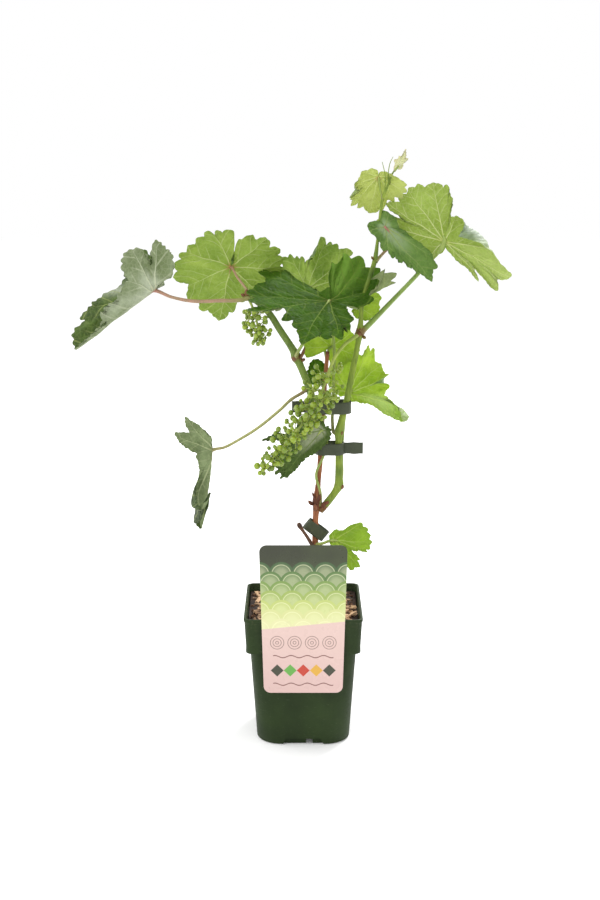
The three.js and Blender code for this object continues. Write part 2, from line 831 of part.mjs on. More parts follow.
function makeBunch({ rachis, seed, berries, spread, size }, carriers) {
  const random = seeded(seed);
  const curve = new THREE.CatmullRomCurve3(rachis.map(([x, y, z]) => point(x, y, z)));
  let bunch = limb(rachis, { sides: PETIOLE_SIDES, step: PETIOLE_STEP });
  const placed = [];
  for (let tries = 0; placed.length < berries && tries < berries * 40; tries += 1) {
    const place = spread.from + (1 - spread.from) * random();
    const root = curve.getPointAt(place);
    const swell = Math.sin(Math.PI * (1 - place) ** spread.taper);
    const reach = spread.width * THREE.MathUtils.lerp(BERRY.core, 1, swell);
    const way = point(random() - 0.5, random() - 0.5, random() - 0.62).normalize();
    const distance = reach * THREE.MathUtils.lerp(BERRY.core, 1, Math.sqrt(random()));
    const centre = root.clone().addScaledVector(way, distance);
    const radius = THREE.MathUtils.lerp(...size, random() ** 1.5);
    const free = placed.every((other) => other.centre.distanceTo(centre) > other.radius + radius);
    if (free) {
      placed.push({ centre, radius });
      const berry = new THREE.IcosahedronGeometry(radius, BERRY.detail);
      berry.translate(...centre);
      const stalk = [
        [...root.toArray(), BERRY.pedicelRadius],
        [...centre.toArray(), BERRY.pedicelRadius],
      ];
      bunch = join(bunch, solid(berry), limb(stalk, { sides: 3, step: 100 }));
    }
  }
  return trimmed(bunch, carriers);
}

const BUNCHES = {
  bunch_large: {
    rachis: [
      [51, -4, 384, 1.8],
      [45, -14, 381, 1.5],
      [38, -20, 377, 1.5],
      [28, -26, 365, 1.5],
      [22, -30, 350, 1.4],
      [17, -33, 337, 1.3],
      [2, -35, 310, 1.2],
      [-17, -35, 287, 1],
      [-38, -34, 263, 0.8],
    ],
    seed: 3,
    berries: 54,
    spread: { from: 0.3, width: 16, taper: 0.8 },
    size: [2.6, 3.8],
  },
  bunch_small: {
    rachis: [
      [-50, -15, 419, 1.4],
      [-45, -14, 407, 1.1],
      [-41, -14, 391, 1],
      [-40, -14, 377, 0.8],
    ],
    seed: 8,
    berries: 24,
    spread: { from: 0.45, width: 15, taper: 1 },
    size: [2.6, 3.4],
  },
};

// -------------------------------------------------------------------------- assembly

const grown = (stops) => limb(stops, { grow: CLEARANCE });
const vine = new THREE.Group();
const stems = [grown(CANE), grown(RIGHT_SHOOT), grown(LEFT_SHOOT)];

vine.add(meshOf('pot', makePot(), POT_GREEN));
vine.add(meshOf('soil', makeSoil(), SOIL_BROWN));
vine.add(meshOf('card', makeCard(), CARD_PRINT));
vine.add(meshOf('cane', limb(CANE), OLD_WOOD));
vine.add(meshOf('dead_twig', trimmed(limb(DEAD_TWIG), [grown(CANE)]), OLD_WOOD));
vine.add(meshOf('shoot_right', trimmed(limb(RIGHT_SHOOT), [grown(CANE)]), GREEN_WOOD));
vine.add(meshOf('shoot_left', trimmed(limb(LEFT_SHOOT), [grown(CANE)]), GREEN_WOOD));

for (const [name, spec] of Object.entries(TIES)) {
  vine.add(meshOf(name, makeTie(spec), TAPE_GREEN));
}
for (const [name, spec] of Object.entries(LEAVES)) {
  vine.add(meshOf(name, makeLeaf(spec, stems), LEAF_GREEN));
}
for (const [name, spec] of Object.entries(BUNCHES)) {
  vine.add(meshOf(name, makeBunch(spec, stems), BERRY_GREEN));
}

export default vine;
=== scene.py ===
"""A young grapevine in a square nursery pot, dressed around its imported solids.

Sizes in the tables are millimetres in the part's own frame, and become metres when a mesh
is made. One rule draws every leaf, one every stem and one every bunch of berries.
"""

import logging
import math
from dataclasses import dataclass, field
from enum import Enum
from functools import cache

import bpy
import numpy as np
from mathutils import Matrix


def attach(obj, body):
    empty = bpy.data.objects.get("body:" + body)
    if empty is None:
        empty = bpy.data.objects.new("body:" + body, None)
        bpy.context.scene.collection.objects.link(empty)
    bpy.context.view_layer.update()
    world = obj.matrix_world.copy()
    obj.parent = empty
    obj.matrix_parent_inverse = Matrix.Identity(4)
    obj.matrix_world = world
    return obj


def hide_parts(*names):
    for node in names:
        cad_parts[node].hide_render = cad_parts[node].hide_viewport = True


LOG = logging.getLogger("grapevine")
MM = 0.001
BODY = "root"

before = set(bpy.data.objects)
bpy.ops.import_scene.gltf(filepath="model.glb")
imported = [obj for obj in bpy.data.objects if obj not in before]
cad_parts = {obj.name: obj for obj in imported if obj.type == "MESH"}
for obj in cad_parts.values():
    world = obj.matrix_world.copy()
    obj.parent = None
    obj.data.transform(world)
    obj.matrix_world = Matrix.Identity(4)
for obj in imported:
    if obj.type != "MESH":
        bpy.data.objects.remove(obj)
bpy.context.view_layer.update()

Array = np.ndarray
Point = tuple[float, float, float]
Stop = tuple[float, float, float, float]  # a point and a radius
Colour = tuple[float, float, float, float]
Material = bpy.types.Material
Node = bpy.types.Node
Object = bpy.types.Object
Socket = bpy.types.NodeSocket
Tree = bpy.types.NodeTree
Value = float | Socket
Tint = str | Socket  # a hex code or a colour in the tree


# --- numbers


def colour(code: str) -> Colour:
    """The linear colour of a six-figure hex code, with full alpha.

    Args:
        code: The hex code.

    Returns:
        Red, green, blue and alpha.
    """
    parts = [int(code[i : i + 2], 16) / 255 for i in (1, 3, 5)]
    linear = [p / 12.92 if p <= 0.04045 else ((p + 0.055) / 1.055) ** 2.4 for p in parts]
    return (linear[0], linear[1], linear[2], 1.0)


def smooth(value: Array, low: float, high: float) -> Array:
    """A smooth step from 0 at low to 1 at high."""
    t = np.clip((value - low) / (high - low), 0.0, 1.0)
    return t * t * (3 - 2 * t)


def circle(count: int) -> Array:
    """Even angles once round."""
    return np.linspace(0, 2 * math.pi, count, endpoint=False)


def headings(degrees: Array) -> Array:
    """Flat directions at angles in degrees."""
    steer = np.radians(degrees)
    return np.stack([np.cos(steer), np.sin(steer)], axis=-1)


def walked(rows: Array) -> Array:
    """The way walked from the first row to each row."""
    return np.r_[0, np.cumsum(np.linalg.norm(np.diff(rows, axis=0), axis=1))]


def normalised(rows: Array) -> Array:
    """Each row scaled to a length of 1."""
    return rows / np.maximum(np.linalg.norm(rows, axis=-1, keepdims=True), 1e-12)


def ripples(x: Array, y: Array, pitch: float, seed: int) -> Array:
    """Smooth seeded unevenness over a plane.

    Args:
        x: First coordinate.
        y: Second coordinate.
        pitch: Rough distance between bumps, in the coordinates' unit.
        seed: Picks the pattern.

    Returns:
        Heights between about -1 and 1.
    """
    rng = np.random.default_rng(seed)
    total = np.zeros(np.broadcast(x, y).shape)
    waves = 7
    for _ in range(waves):
        turn, phase, stretch = rng.uniform(0, 2 * math.pi), rng.uniform(0, 6.3), rng.uniform(0.6, 1.7)
        steer = math.cos(turn) * x + math.sin(turn) * y
        total += np.sin(2 * math.pi * steer / (pitch * stretch) + phase)
    return total / math.sqrt(waves * 2)


def smooth_path(stops: list, step: float) -> Array:
    """Even points along the centripetal spline through the stops.

    Args:
        stops: Rows of x, y, z and any further values to carry along.
        step: Distance between points.

    Returns:
        Rows like the stops' rows.
    """
    stops = np.array(stops, float)
    padded = np.vstack([2 * stops[0] - stops[1], stops, 2 * stops[-1] - stops[-2]])
    t = np.linspace(0, 1, 24, endpoint=False)[:, None]
    pieces = []
    for i in range(1, len(padded) - 2):
        a, b, c, d = padded[i - 1 : i + 3]
        gaps = [max(np.linalg.norm(q[:3] - p[:3]), 1e-6) ** 0.5 for p, q in ((a, b), (b, c), (c, d))]
        leave = ((b - a) / gaps[0] - (c - a) / (gaps[0] + gaps[1]) + (c - b) / gaps[1]) * gaps[1]
        arrive = ((c - b) / gaps[1] - (d - b) / (gaps[1] + gaps[2]) + (d - c) / gaps[2]) * gaps[1]
        cubic = (2 * b - 2 * c + leave + arrive) * t**3
        square = (-3 * b + 3 * c - 2 * leave - arrive) * t**2
        pieces.append(cubic + square + leave * t + b)
    dense = np.vstack([*pieces, stops[-1][None]])
    lengths = walked(dense[:, :3])
    even = np.linspace(0, lengths[-1], max(3, round(lengths[-1] / step) + 1))
    return np.stack([np.interp(even, lengths, column) for column in dense.T], axis=1)


# --- meshes


def linked(name: str, data: bpy.types.ID) -> Object:
    """A new object in the scene.

    Args:
        name: The object's name.
        data: Its mesh, lamp or camera.

    Returns:
        The object.
    """
    item = bpy.data.objects.new(name, data)
    bpy.context.scene.collection.objects.link(item)
    return item


def settled_mesh(source: Object, name: str) -> bpy.types.Mesh:
    """A plain mesh of what an object's modifiers make of it.

    Args:
        source: The object.
        name: The new mesh's name.

    Returns:
        The mesh.
    """
    evaluated = source.evaluated_get(bpy.context.evaluated_depsgraph_get())
    mesh = bpy.data.meshes.new_from_object(evaluated)
    mesh.name = name
    return mesh


@dataclass
class Sketch:
    """A mesh in the making: points in millimetres, faces, material places and values."""

    points: list[Array] = field(default_factory=list)
    faces: list[Array] = field(default_factory=list)
    places: list[Array] = field(default_factory=list)
    values: dict[str, list[Array]] = field(default_factory=dict)
    count: int = 0

    def add(self, points: Array, faces: list[Array], place: int = 0, **values: Array) -> None:
        """Adds points and faces.

        Args:
            points: Rows of x, y, z.
            faces: Index arrays of three or four columns, from 0 for these points.
            place: Which of the piece's materials the faces wear.
            values: Named numbers, one for each point.
        """
        for name in {*self.values, *values}:
            column = self.values.setdefault(name, [np.zeros(self.count)])
            column.append(np.asarray(values.get(name, np.zeros(len(points))), float).reshape(-1))
        for group in faces:
            self.faces.append(group + self.count)
            self.places.append(np.full(len(group), place))
        self.points.append(points)
        self.count += len(points)

    def add_skin(self, rings: Array, place: int = 0, **values: Array) -> None:
        """Adds a closed skin over rings of equal count, with a fan at each end.

        Args:
            rings: Array of rings, points and coordinates.
            place: Which of the piece's materials it wears.
            values: Named numbers for each point of each ring.
        """
        rows, cols, _ = rings.shape
        points = np.vstack([rings.reshape(-1, 3), rings[0].mean(0), rings[-1].mean(0)])
        around = np.arange(cols)
        after = (around + 1) % cols
        step = np.arange(rows - 1)[:, None] * cols
        low, turn = (step + around).reshape(-1), (step + after).reshape(-1)
        quads = np.stack([low, turn, turn + cols, low + cols], axis=1)
        base = (rows - 1) * cols
        start = np.stack([np.full(cols, rows * cols), after, around], axis=1)
        end = np.stack([np.full(cols, rows * cols + 1), base + around, base + after], axis=1)
        padded = {}
        for name, value in values.items():
            grid = np.broadcast_to(value, (rows, cols))
            padded[name] = np.r_[grid.reshape(-1), grid[0].mean(), grid[-1].mean()]
        faces = [quads, start, end]
        if self._volume(points - points.mean(0), faces) < 0:
            faces = [group[:, ::-1] for group in faces]
        self.add(points, faces, place, **padded)

    @staticmethod
    def _volume(points: Array, faces: list[Array]) -> float:
        """Six times the volume within closed faces.

        Args:
            points: Rows of x, y, z.
            faces: Index arrays of three or four columns.

        Returns:
            The volume, below 0 when the faces point inwards.
        """
        total = 0.0
        for group in faces:
            for last in range(2, group.shape[1]):
                a, b, c = points[group[:, 0]], points[group[:, last - 1]], points[group[:, last]]
                total += float(np.einsum("ij,ij->", a, np.cross(b, c)))
        return total

    def to_object(self, name: str, materials: list[Material]) -> Object:
        """The finished smooth object, at the origin, in metres, with faces turned out.

        Args:
            name: The piece's name.
            materials: The materials that its faces' places count through.

        Returns:
            The linked object.
        """
        mesh = bpy.data.meshes.new(name)
        faces = [row for group in self.faces for row in group.tolist()]
        mesh.from_pydata((np.vstack(self.points) * MM).tolist(), [], faces)
        for material in materials:
            mesh.materials.append(material)
        mesh.polygons.foreach_set("material_index", np.concatenate(self.places).astype(np.int32))
        mesh.polygons.foreach_set("use_smooth", np.ones(len(mesh.polygons), bool))
        for key, columns in self.values.items():
            layer = mesh.attributes.new(key, "FLOAT", "POINT")
            layer.data.foreach_set("value", np.concatenate(columns).astype(np.float32))
        mesh.update()
        return linked(name, mesh)


def tube_rings(path: Array, radii: Array, sides: int) -> Array:
    """Rings round a path, without twist.

    Args:
        path: Rows of x, y, z.
        radii: Radius of each ring, or of each ring and side.
        sides: Points in a ring.

    Returns:
        Array of rings, points and coordinates.
    """
    tangents = normalised(np.gradient(path, axis=0))
    axis = np.eye(3)[np.argmin(np.abs(tangents[0]))]
    normals = [normalised(np.cross(tangents[0], axis))]
    for tangent in tangents[1:]:
        normals.append(normalised(normals[-1] - tangent * (normals[-1] @ tangent)))
    normal = np.array(normals)
    angles = circle(sides)
    radii = np.broadcast_to(np.asarray(radii).reshape(len(path), -1), (len(path), sides))
    out = normal[:, None] * np.cos(angles)[None, :, None]
    out = out + np.cross(tangents, normal)[:, None] * np.sin(angles)[None, :, None]
    return path[:, None] + out * radii[..., None]


def dress(piece: Object, slot: str, *nodes: str) -> None:
    """Seats a finished piece on the body, in place of its solids.

    Args:
        piece: The finished piece.
        slot: The record's material slot; not used.
        nodes: The solids that it stands for.
    """
    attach(piece, BODY)
    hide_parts(*nodes)
    LOG.info("%s: %d faces", piece.name, len(piece.data.polygons))


# --- shading


def put(tree: Tree, kind: str, inputs: dict | None = None, **settings: object) -> Node:
    """Adds a node to a tree.

    Args:
        tree: The node tree.
        kind: The node's type name.
        inputs: Values, hex codes or linked sockets by input name or number.
        settings: The node's own settings.

    Returns:
        The node.
    """
    node = tree.nodes.new(kind)
    for key, value in settings.items():
        setattr(node, key, value)
    for key, value in (inputs or {}).items():
        if isinstance(value, Socket):
            tree.links.new(value, node.inputs[key])
        else:
            code = isinstance(value, str) and value.startswith("#")
            node.inputs[key].default_value = colour(value) if code else value
    return node


def tree_start(kind: str, name: str, inputs: dict, outputs: dict) -> tuple[Tree, Node, Node]:
    """Begins a node group.

    Args:
        kind: Shader or Geometry.
        name: The group's name.
        inputs: Socket kinds by input name.
        outputs: Socket kinds by output name.

    Returns:
        The group, its input node and its output node.
    """
    tree = bpy.data.node_groups.new(name, f"{kind}NodeTree")
    for way, kinds in (("INPUT", inputs), ("OUTPUT", outputs)):
        for label, socket in kinds.items():
            tree.interface.new_socket(label, in_out=way, socket_type=f"NodeSocket{socket}")
    return tree, put(tree, "NodeGroupInput"), put(tree, "NodeGroupOutput")


def made(tree: Tree, kind: str, inputs: dict | None = None, **settings: object) -> Socket:
    """The first output of a node added to a tree."""
    return put(tree, kind, inputs, **settings).outputs[0]


@cache
def mottle_group() -> Tree:
    """Two colours dealt out by soft noise, with the noise as a value.

    Returns:
        The group.
    """
    inputs = {"Vector": "Vector", "Scale": "Float", "Low": "Color", "High": "Color"}
    tree, into, out = tree_start("Shader", "mottle", inputs, {"Color": "Color", "Value": "Float"})
    settings = {"Vector": into.outputs[0], "Scale": into.outputs[1], "Detail": 4.0}
    noise = made(tree, "ShaderNodeTexNoise", settings)
    spread = {"Value": noise, "From Min": 0.32, "From Max": 0.68}
    level = made(tree, "ShaderNodeMapRange", spread)
    mixed = put(tree, "ShaderNodeMix", {0: level, 6: into.outputs[2], 7: into.outputs[3]}, data_type="RGBA")
    tree.links.new(mixed.outputs[2], out.inputs["Color"])
    tree.links.new(level, out.inputs["Value"])
    return tree


@cache
def network_group() -> Tree:
    """A fine net of lines between pillows, as between the cells of a leaf.

    Returns:
        The group.
    """
    inputs = {"Vector": "Vector", "Scale": "Float", "Width": "Float"}
    tree, into, out = tree_start("Shader", "network", inputs, {"Line": "Float", "Pillow": "Float"})
    settings = {"Vector": into.outputs[0], "Scale": into.outputs[1]}
    cells = made(tree, "ShaderNodeTexVoronoi", settings, feature="DISTANCE_TO_EDGE")
    spread = {"Value": cells, "From Max": into.outputs[2], "To Min": 1.0, "To Max": 0.0}
    line = made(tree, "ShaderNodeMapRange", spread)
    puff = {"Value": cells, "From Max": 0.42}
    pillow = made(tree, "ShaderNodeMapRange", puff, interpolation_type="SMOOTHSTEP")
    tree.links.new(line, out.inputs["Line"])
    tree.links.new(pillow, out.inputs["Pillow"])
    return tree


@cache
def streaks_group() -> Tree:
    """Noise drawn out along the height, as grain along a stem.

    Returns:
        The group.
    """
    inputs = {"Vector": "Vector", "Scale": "Float", "Stretch": "Float"}
    tree, into, out = tree_start("Shader", "streaks", inputs, {"Value": "Float"})
    flat = made(tree, "ShaderNodeCombineXYZ", {0: 1.0, 1: 1.0, 2: into.outputs[2]})
    squeezed = made(tree, "ShaderNodeVectorMath", {0: into.outputs[0], 1: flat}, operation="MULTIPLY")
    settings = {"Vector": squeezed, "Scale": into.outputs[1], "Detail": 5.0}
    tree.links.new(made(tree, "ShaderNodeTexNoise", settings), out.inputs["Value"])
    return tree


@dataclass
class Shading:
    """A material's node tree with short ways to add to it."""

    material: Material
    tree: Tree

    @classmethod
    def named(cls, name: str) -> "Shading":
        """An empty material.

        Args:
            name: Its name.

        Returns:
            Its shading.
        """
        material = bpy.data.materials.new(name)
        material.use_nodes = True
        material.node_tree.nodes.clear()
        return cls(material, material.node_tree)

    def spot(self) -> Socket:
        """Object coordinates."""
        return put(self.tree, "ShaderNodeTexCoord").outputs["Object"]

    def attribute(self, name: str) -> Socket:
        """The value of a named attribute."""
        return put(self.tree, "ShaderNodeAttribute", attribute_name=name).outputs["Fac"]

    def maths(self, operation: str, *values: Value) -> Socket:
        """An operation on numbers."""
        return made(self.tree, "ShaderNodeMath", dict(enumerate(values)), operation=operation)

    def plus(self, first: Value, second: Value) -> Socket:
        """A sum."""
        return self.maths("ADD", first, second)

    def minus(self, first: Value, second: Value) -> Socket:
        """A difference."""
        return self.maths("SUBTRACT", first, second)

    def times(self, first: Value, second: Value) -> Socket:
        """A product."""
        return self.maths("MULTIPLY", first, second)

    def apart(self, first: Value, second: Value) -> Socket:
        """How far apart two numbers are."""
        return self.maths("ABSOLUTE", self.minus(first, second))

    def away(self, across: Value, up: Value) -> Socket:
        """The distance whose two parts are given."""
        return self.maths("SQRT", self.plus(self.times(across, across), self.times(up, up)))

    def ramp(self, value: Value, low: float, high: float, start: float = 0.0, end: float = 1.0) -> Socket:
        """A value carried smoothly from one range to another."""
        inputs = {"Value": value, "From Min": low, "From Max": high, "To Min": start, "To Max": end}
        return made(self.tree, "ShaderNodeMapRange", inputs, interpolation_type="SMOOTHSTEP")

    def mix(self, share: Value, first: Tint, second: Tint) -> Socket:
        """Two colours mixed by the second one's share."""
        return put(self.tree, "ShaderNodeMix", {0: share, 6: first, 7: second}, data_type="RGBA").outputs[2]

    def layered(self, base: Tint, *layers: tuple[Value, Tint]) -> Tint:
        """A colour with others laid over it in turn.

        Args:
            base: The colour beneath.
            layers: The share and colour of each layer.

        Returns:
            The colour.
        """
        for share, tint in layers:
            base = self.mix(share, base, tint)
        return base

    def noise(self, scale: float, detail: float = 3.0) -> Socket:
        """Noise over the piece."""
        inputs = {"Vector": self.spot(), "Scale": scale, "Detail": detail}
        return made(self.tree, "ShaderNodeTexNoise", inputs)

    def shared(self, tree: Tree, **inputs: Value | Tint) -> bpy.types.NodeOutputs:
        """The outputs of a shared effect, placed on the piece with its own values."""
        named = {"Vector": self.spot(), **{key.capitalize(): value for key, value in inputs.items()}}
        return put(self.tree, "ShaderNodeGroup", named, node_tree=tree).outputs

    def mottled(self, scale: float, deep: str, light: str) -> bpy.types.NodeOutputs:
        """Two colours dealt out by soft noise, as Color, with the noise as Value."""
        return self.shared(mottle_group(), scale=scale, low=deep, high=light)

    def streaks(self, scale: float, stretch: float) -> Socket:
        """Grain drawn out along the height."""
        return self.shared(streaks_group(), scale=scale, stretch=stretch)["Value"]

    def bump(self, height: Value, strength: float, distance: float) -> Socket:
        """A normal raised by a height."""
        inputs = {"Height": height, "Strength": strength, "Distance": distance * MM}
        return made(self.tree, "ShaderNodeBump", inputs)

    def finish(self, sheer: float = 0.0, glow: Tint = "#ffffff", **inputs: object) -> Material:
        """Ends the tree in a Principled BSDF, with a share of light let through.

        Args:
            sheer: Share of a Translucent BSDF.
            glow: Colour of what comes through.
            inputs: The Principled BSDF's inputs, with underscores for spaces.

        Returns:
            The material.
        """
        named = {key.replace("_", " ").title().replace("Ior", "IOR"): value for key, value in inputs.items()}
        shader = made(self.tree, "ShaderNodeBsdfPrincipled", named)
        if sheer > 0:
            through = made(self.tree, "ShaderNodeBsdfTranslucent", {"Color": glow})
            shader = made(self.tree, "ShaderNodeMixShader", {0: sheer, 1: shader, 2: through})
        put(self.tree, "ShaderNodeOutputMaterial", {"Surface": shader})
        return self.material


@dataclass(frozen=True)
class LeafFinish:
    """The look of a leaf's two faces and its veins."""

    name: str
    upper: str
    upper_deep: str
    under: str
    under_deep: str
    vein_upper: str = "#a9b56c"
    vein_under: str = "#c8d092"
    heart: str = "#9aa05e"  # veins close to the stalk
    glow: str = "#a6c23a"
    sheer: float = 0.3
    gloss: float = 0.5  # roughness of the upper face
    shine: float = 0.28  # specular level
    turned: str = "#8ea67a"  # upper face of a rim that is turned over; the pale ones are partly painted sheen
    painted_light: str = "#a6c05a"  # painted light on its lighter lobes and round its stalk
    painted_light_at_stalk: float = 0.0  # share of painted light round the stalk

    def build(self) -> Material:
        """Paints the leaf over its own vein measures.

        Returns:
            The material.
        """
        look = Shading.named(self.name)
        side, reach, tone = (look.attribute(name) for name in ("side", "reach", "tone"))
        upper = look.mottled(42.0, self.upper_deep, self.upper)
        under = look.mottled(42.0, self.under_deep, self.under)
        # the turned-over rim's upper face; its pale colour is partly painted sheen
        flap = look.mix(look.ramp(upper["Value"], 0.3, 0.7, 0.0, 0.35), self.turned, upper["Color"])
        face = look.mix(look.attribute("turned"), upper["Color"], flap)
        width = look.ramp(reach, 0.0, 1.0, 0.75, 0.16)
        main = look.ramp(look.maths("DIVIDE", look.attribute("across"), width), 0.55, 1.0, 1.0, 0.0)
        rib = look.ramp(look.maths("PINGPONG", look.attribute("rib"), 0.5), 0.03, 0.085, 1.0, 0.0)
        fade = look.ramp(look.attribute("midway"), 0.35, 0.95, 1.0, 0.0)
        rib = look.times(look.times(rib, look.ramp(reach, 0.08, 0.2)), fade)
        deep = look.mix(side, self.upper_deep, self.under_deep)
        veins = look.mix(side, self.vein_upper, self.vein_under)
        veins = look.mix(look.ramp(reach, 0.03, 0.2, 1.0, 0.0), veins, self.heart)
        cells = look.shared(network_group(), scale=240.0, width=0.1)
        blade = look.layered(
            look.mix(side, face, under["Color"]),
            (look.ramp(look.noise(120.0, 4.0), 0.42, 0.68, 0.0, 0.6), deep),
            (look.ramp(reach, 0.8, 1.0, 0.0, 0.35), deep),
            # painted light on chosen lobes and round the stalk, and painted shade on darker lobes
            (look.ramp(tone, 0.0, 1.0), self.painted_light),
            (look.ramp(reach, 0.2, 0.62, self.painted_light_at_stalk, 0.0), self.painted_light),
            (look.ramp(tone, -1.0, 0.0, 1.0, 0.0), deep),
            (look.times(cells["Line"], 0.16), veins),
            (look.times(rib, 0.42), veins),
            (look.times(main, 0.8), veins),
        )
        height = look.plus(cells["Pillow"], look.times(look.noise(900.0, 2.0), 0.35))
        height = look.plus(height, look.times(rib, 0.5))
        polish = look.ramp(side, 0.0, 1.0, self.gloss, 0.72)
        rough = look.plus(polish, look.ramp(upper["Value"], 0.0, 1.0, -0.05, 0.07))
        return look.finish(
            self.sheer, look.mix(0.55, blade, self.glow), base_color=blade, roughness=rough,
            specular_ior_level=self.shine, normal=look.bump(height, 0.6, 0.8),
        )


@dataclass(frozen=True)
class StalkFinish:
    """The look of a leaf stalk: its colour where it leaves the stem, midway and at the blade."""

    name: str
    base: str
    middle: str
    tip: str
    reach: float = 0.3  # part of the stalk that its base colour fades over

    def build(self) -> Material:
        """The material, with its colours run along the stalk.

        Returns:
            The material.
        """
        look = Shading.named(self.name)
        along = look.attribute("along")
        streak = look.streaks(500.0, 0.3)
        tint = look.layered(
            self.base,
            (look.ramp(along, 0.02, self.reach), self.middle),
            (look.ramp(along, 0.7, 1.0), self.tip),
            (look.ramp(streak, 0.35, 0.7, 0.0, 0.35), "#5d6a2c"),
        )
        return look.finish(
            base_color=tint, roughness=0.48, normal=look.bump(streak, 0.25, 0.3), subsurface_weight=0.08,
            subsurface_scale=0.002,
        )


@dataclass(frozen=True)
class StemFinish:
    """The look of a stem: its skin, its darker streaks and the brown of its scars."""

    name: str
    skin: str
    skin_deep: str
    streak: str
    scar: str
    rough: float
    relief: float
    stretch: float
    flake: float  # share of pale flakes on its skin

    def build(self) -> Material:
        """The material, browner wherever the stem is scarred.

        Returns:
            The material.
        """
        look = Shading.named(self.name)
        streak = look.streaks(620.0, self.stretch)
        flakes = look.ramp(look.streaks(190.0, 0.35), 0.6, 0.66, 0.0, self.flake)
        spread = look.plus(look.attribute("scar"), look.times(streak, 0.3))
        skin = look.layered(
            look.mottled(60.0, self.skin_deep, self.skin)["Color"],
            (look.times(look.ramp(streak, 0.48, 0.72), 0.55), self.streak),
            (flakes, "#b48a63"),
            (look.ramp(spread, 0.35, 0.75), self.scar),
            (look.ramp(look.streaks(330.0, 0.08), 0.5, 0.7, 0.0, 0.4), self.skin),
        )
        rough = look.ramp(streak, 0.3, 0.7, self.rough, self.rough + 0.16)
        height = look.plus(streak, look.times(flakes, 0.8))
        return look.finish(base_color=skin, roughness=rough, normal=look.bump(height, 0.5, self.relief))


@dataclass(frozen=True)
class BerryFinish:
    """The look of unripe berries: each has its own green, and a bloom of fine dots."""

    name: str
    skin: str
    deep: str

    def build(self) -> Material:
        """The material, toned berry by berry.

        Returns:
            The material.
        """
        look = Shading.named(self.name)
        bloom, dots = look.noise(200.0), look.noise(2600.0, 2.0)
        skin = look.layered(
            self.deep,
            (look.attribute("tone"), self.skin),
            (look.ramp(bloom, 0.45, 0.75, 0.0, 0.12), "#b0bc68"),
            (look.ramp(dots, 0.62, 0.72, 0.0, 0.15), "#c4cc88"),
        )
        return look.finish(
            base_color=skin, roughness=look.ramp(bloom, 0.3, 0.7, 0.22, 0.34), specular_ior_level=0.55,
            normal=look.bump(dots, 0.03, 0.05), subsurface_weight=0.12, subsurface_scale=0.0015,
        )


@dataclass(frozen=True)
class PlasticFinish:
    """Moulded plastic with fine grain, scuffs and dust."""

    name: str
    tint: str
    deep: str
    rough: float
    dust: str = "#8b7f66"
    dust_from: float = 200.0  # height above which dust gathers
    shine: float = 0.5  # specular level

    def build(self) -> Material:
        """The material, dustier towards its top.

        Returns:
            The material.
        """
        look = Shading.named(self.name)
        scratch = look.streaks(240.0, 7.0)
        height = put(look.tree, "ShaderNodeSeparateXYZ", {0: look.spot()}).outputs["Z"]
        high = look.ramp(height, self.dust_from * MM, (self.dust_from + 14) * MM)
        specks = look.times(high, look.ramp(look.noise(420.0, 5.0), 0.5, 0.7))
        tint = look.layered(
            look.mottled(28.0, self.deep, self.tint)["Color"],
            (look.ramp(scratch, 0.62, 0.74, 0.0, 0.22), "#6f7a60"),
            (look.times(specks, 0.1), self.dust),
        )
        return look.finish(
            base_color=tint, roughness=look.ramp(scratch, 0.3, 0.75, self.rough, self.rough + 0.2),
            specular_ior_level=self.shine, normal=look.bump(look.noise(1400.0, 2.0), 0.12, 0.12),
        )


@dataclass(frozen=True)
class SoilFinish:
    """Peat or bark in crumbs, each piece with its own brown."""

    name: str
    light: str
    deep: str
    grain: float

    def build(self) -> Material:
        """The material, toned piece by piece.

        Returns:
            The material.
        """
        look = Shading.named(self.name)
        fibre = look.streaks(500.0, 0.6)
        tint = look.layered(
            look.mottled(self.grain, self.deep, self.light)["Color"],
            (look.ramp(look.attribute("tone"), 0.3, 1.0, 0.0, 0.95), self.light),
            (look.ramp(fibre, 0.5, 0.75, 0.0, 0.5), self.deep),
        )
        return look.finish(base_color=tint, roughness=0.92, normal=look.bump(fibre, 0.7, 0.8))


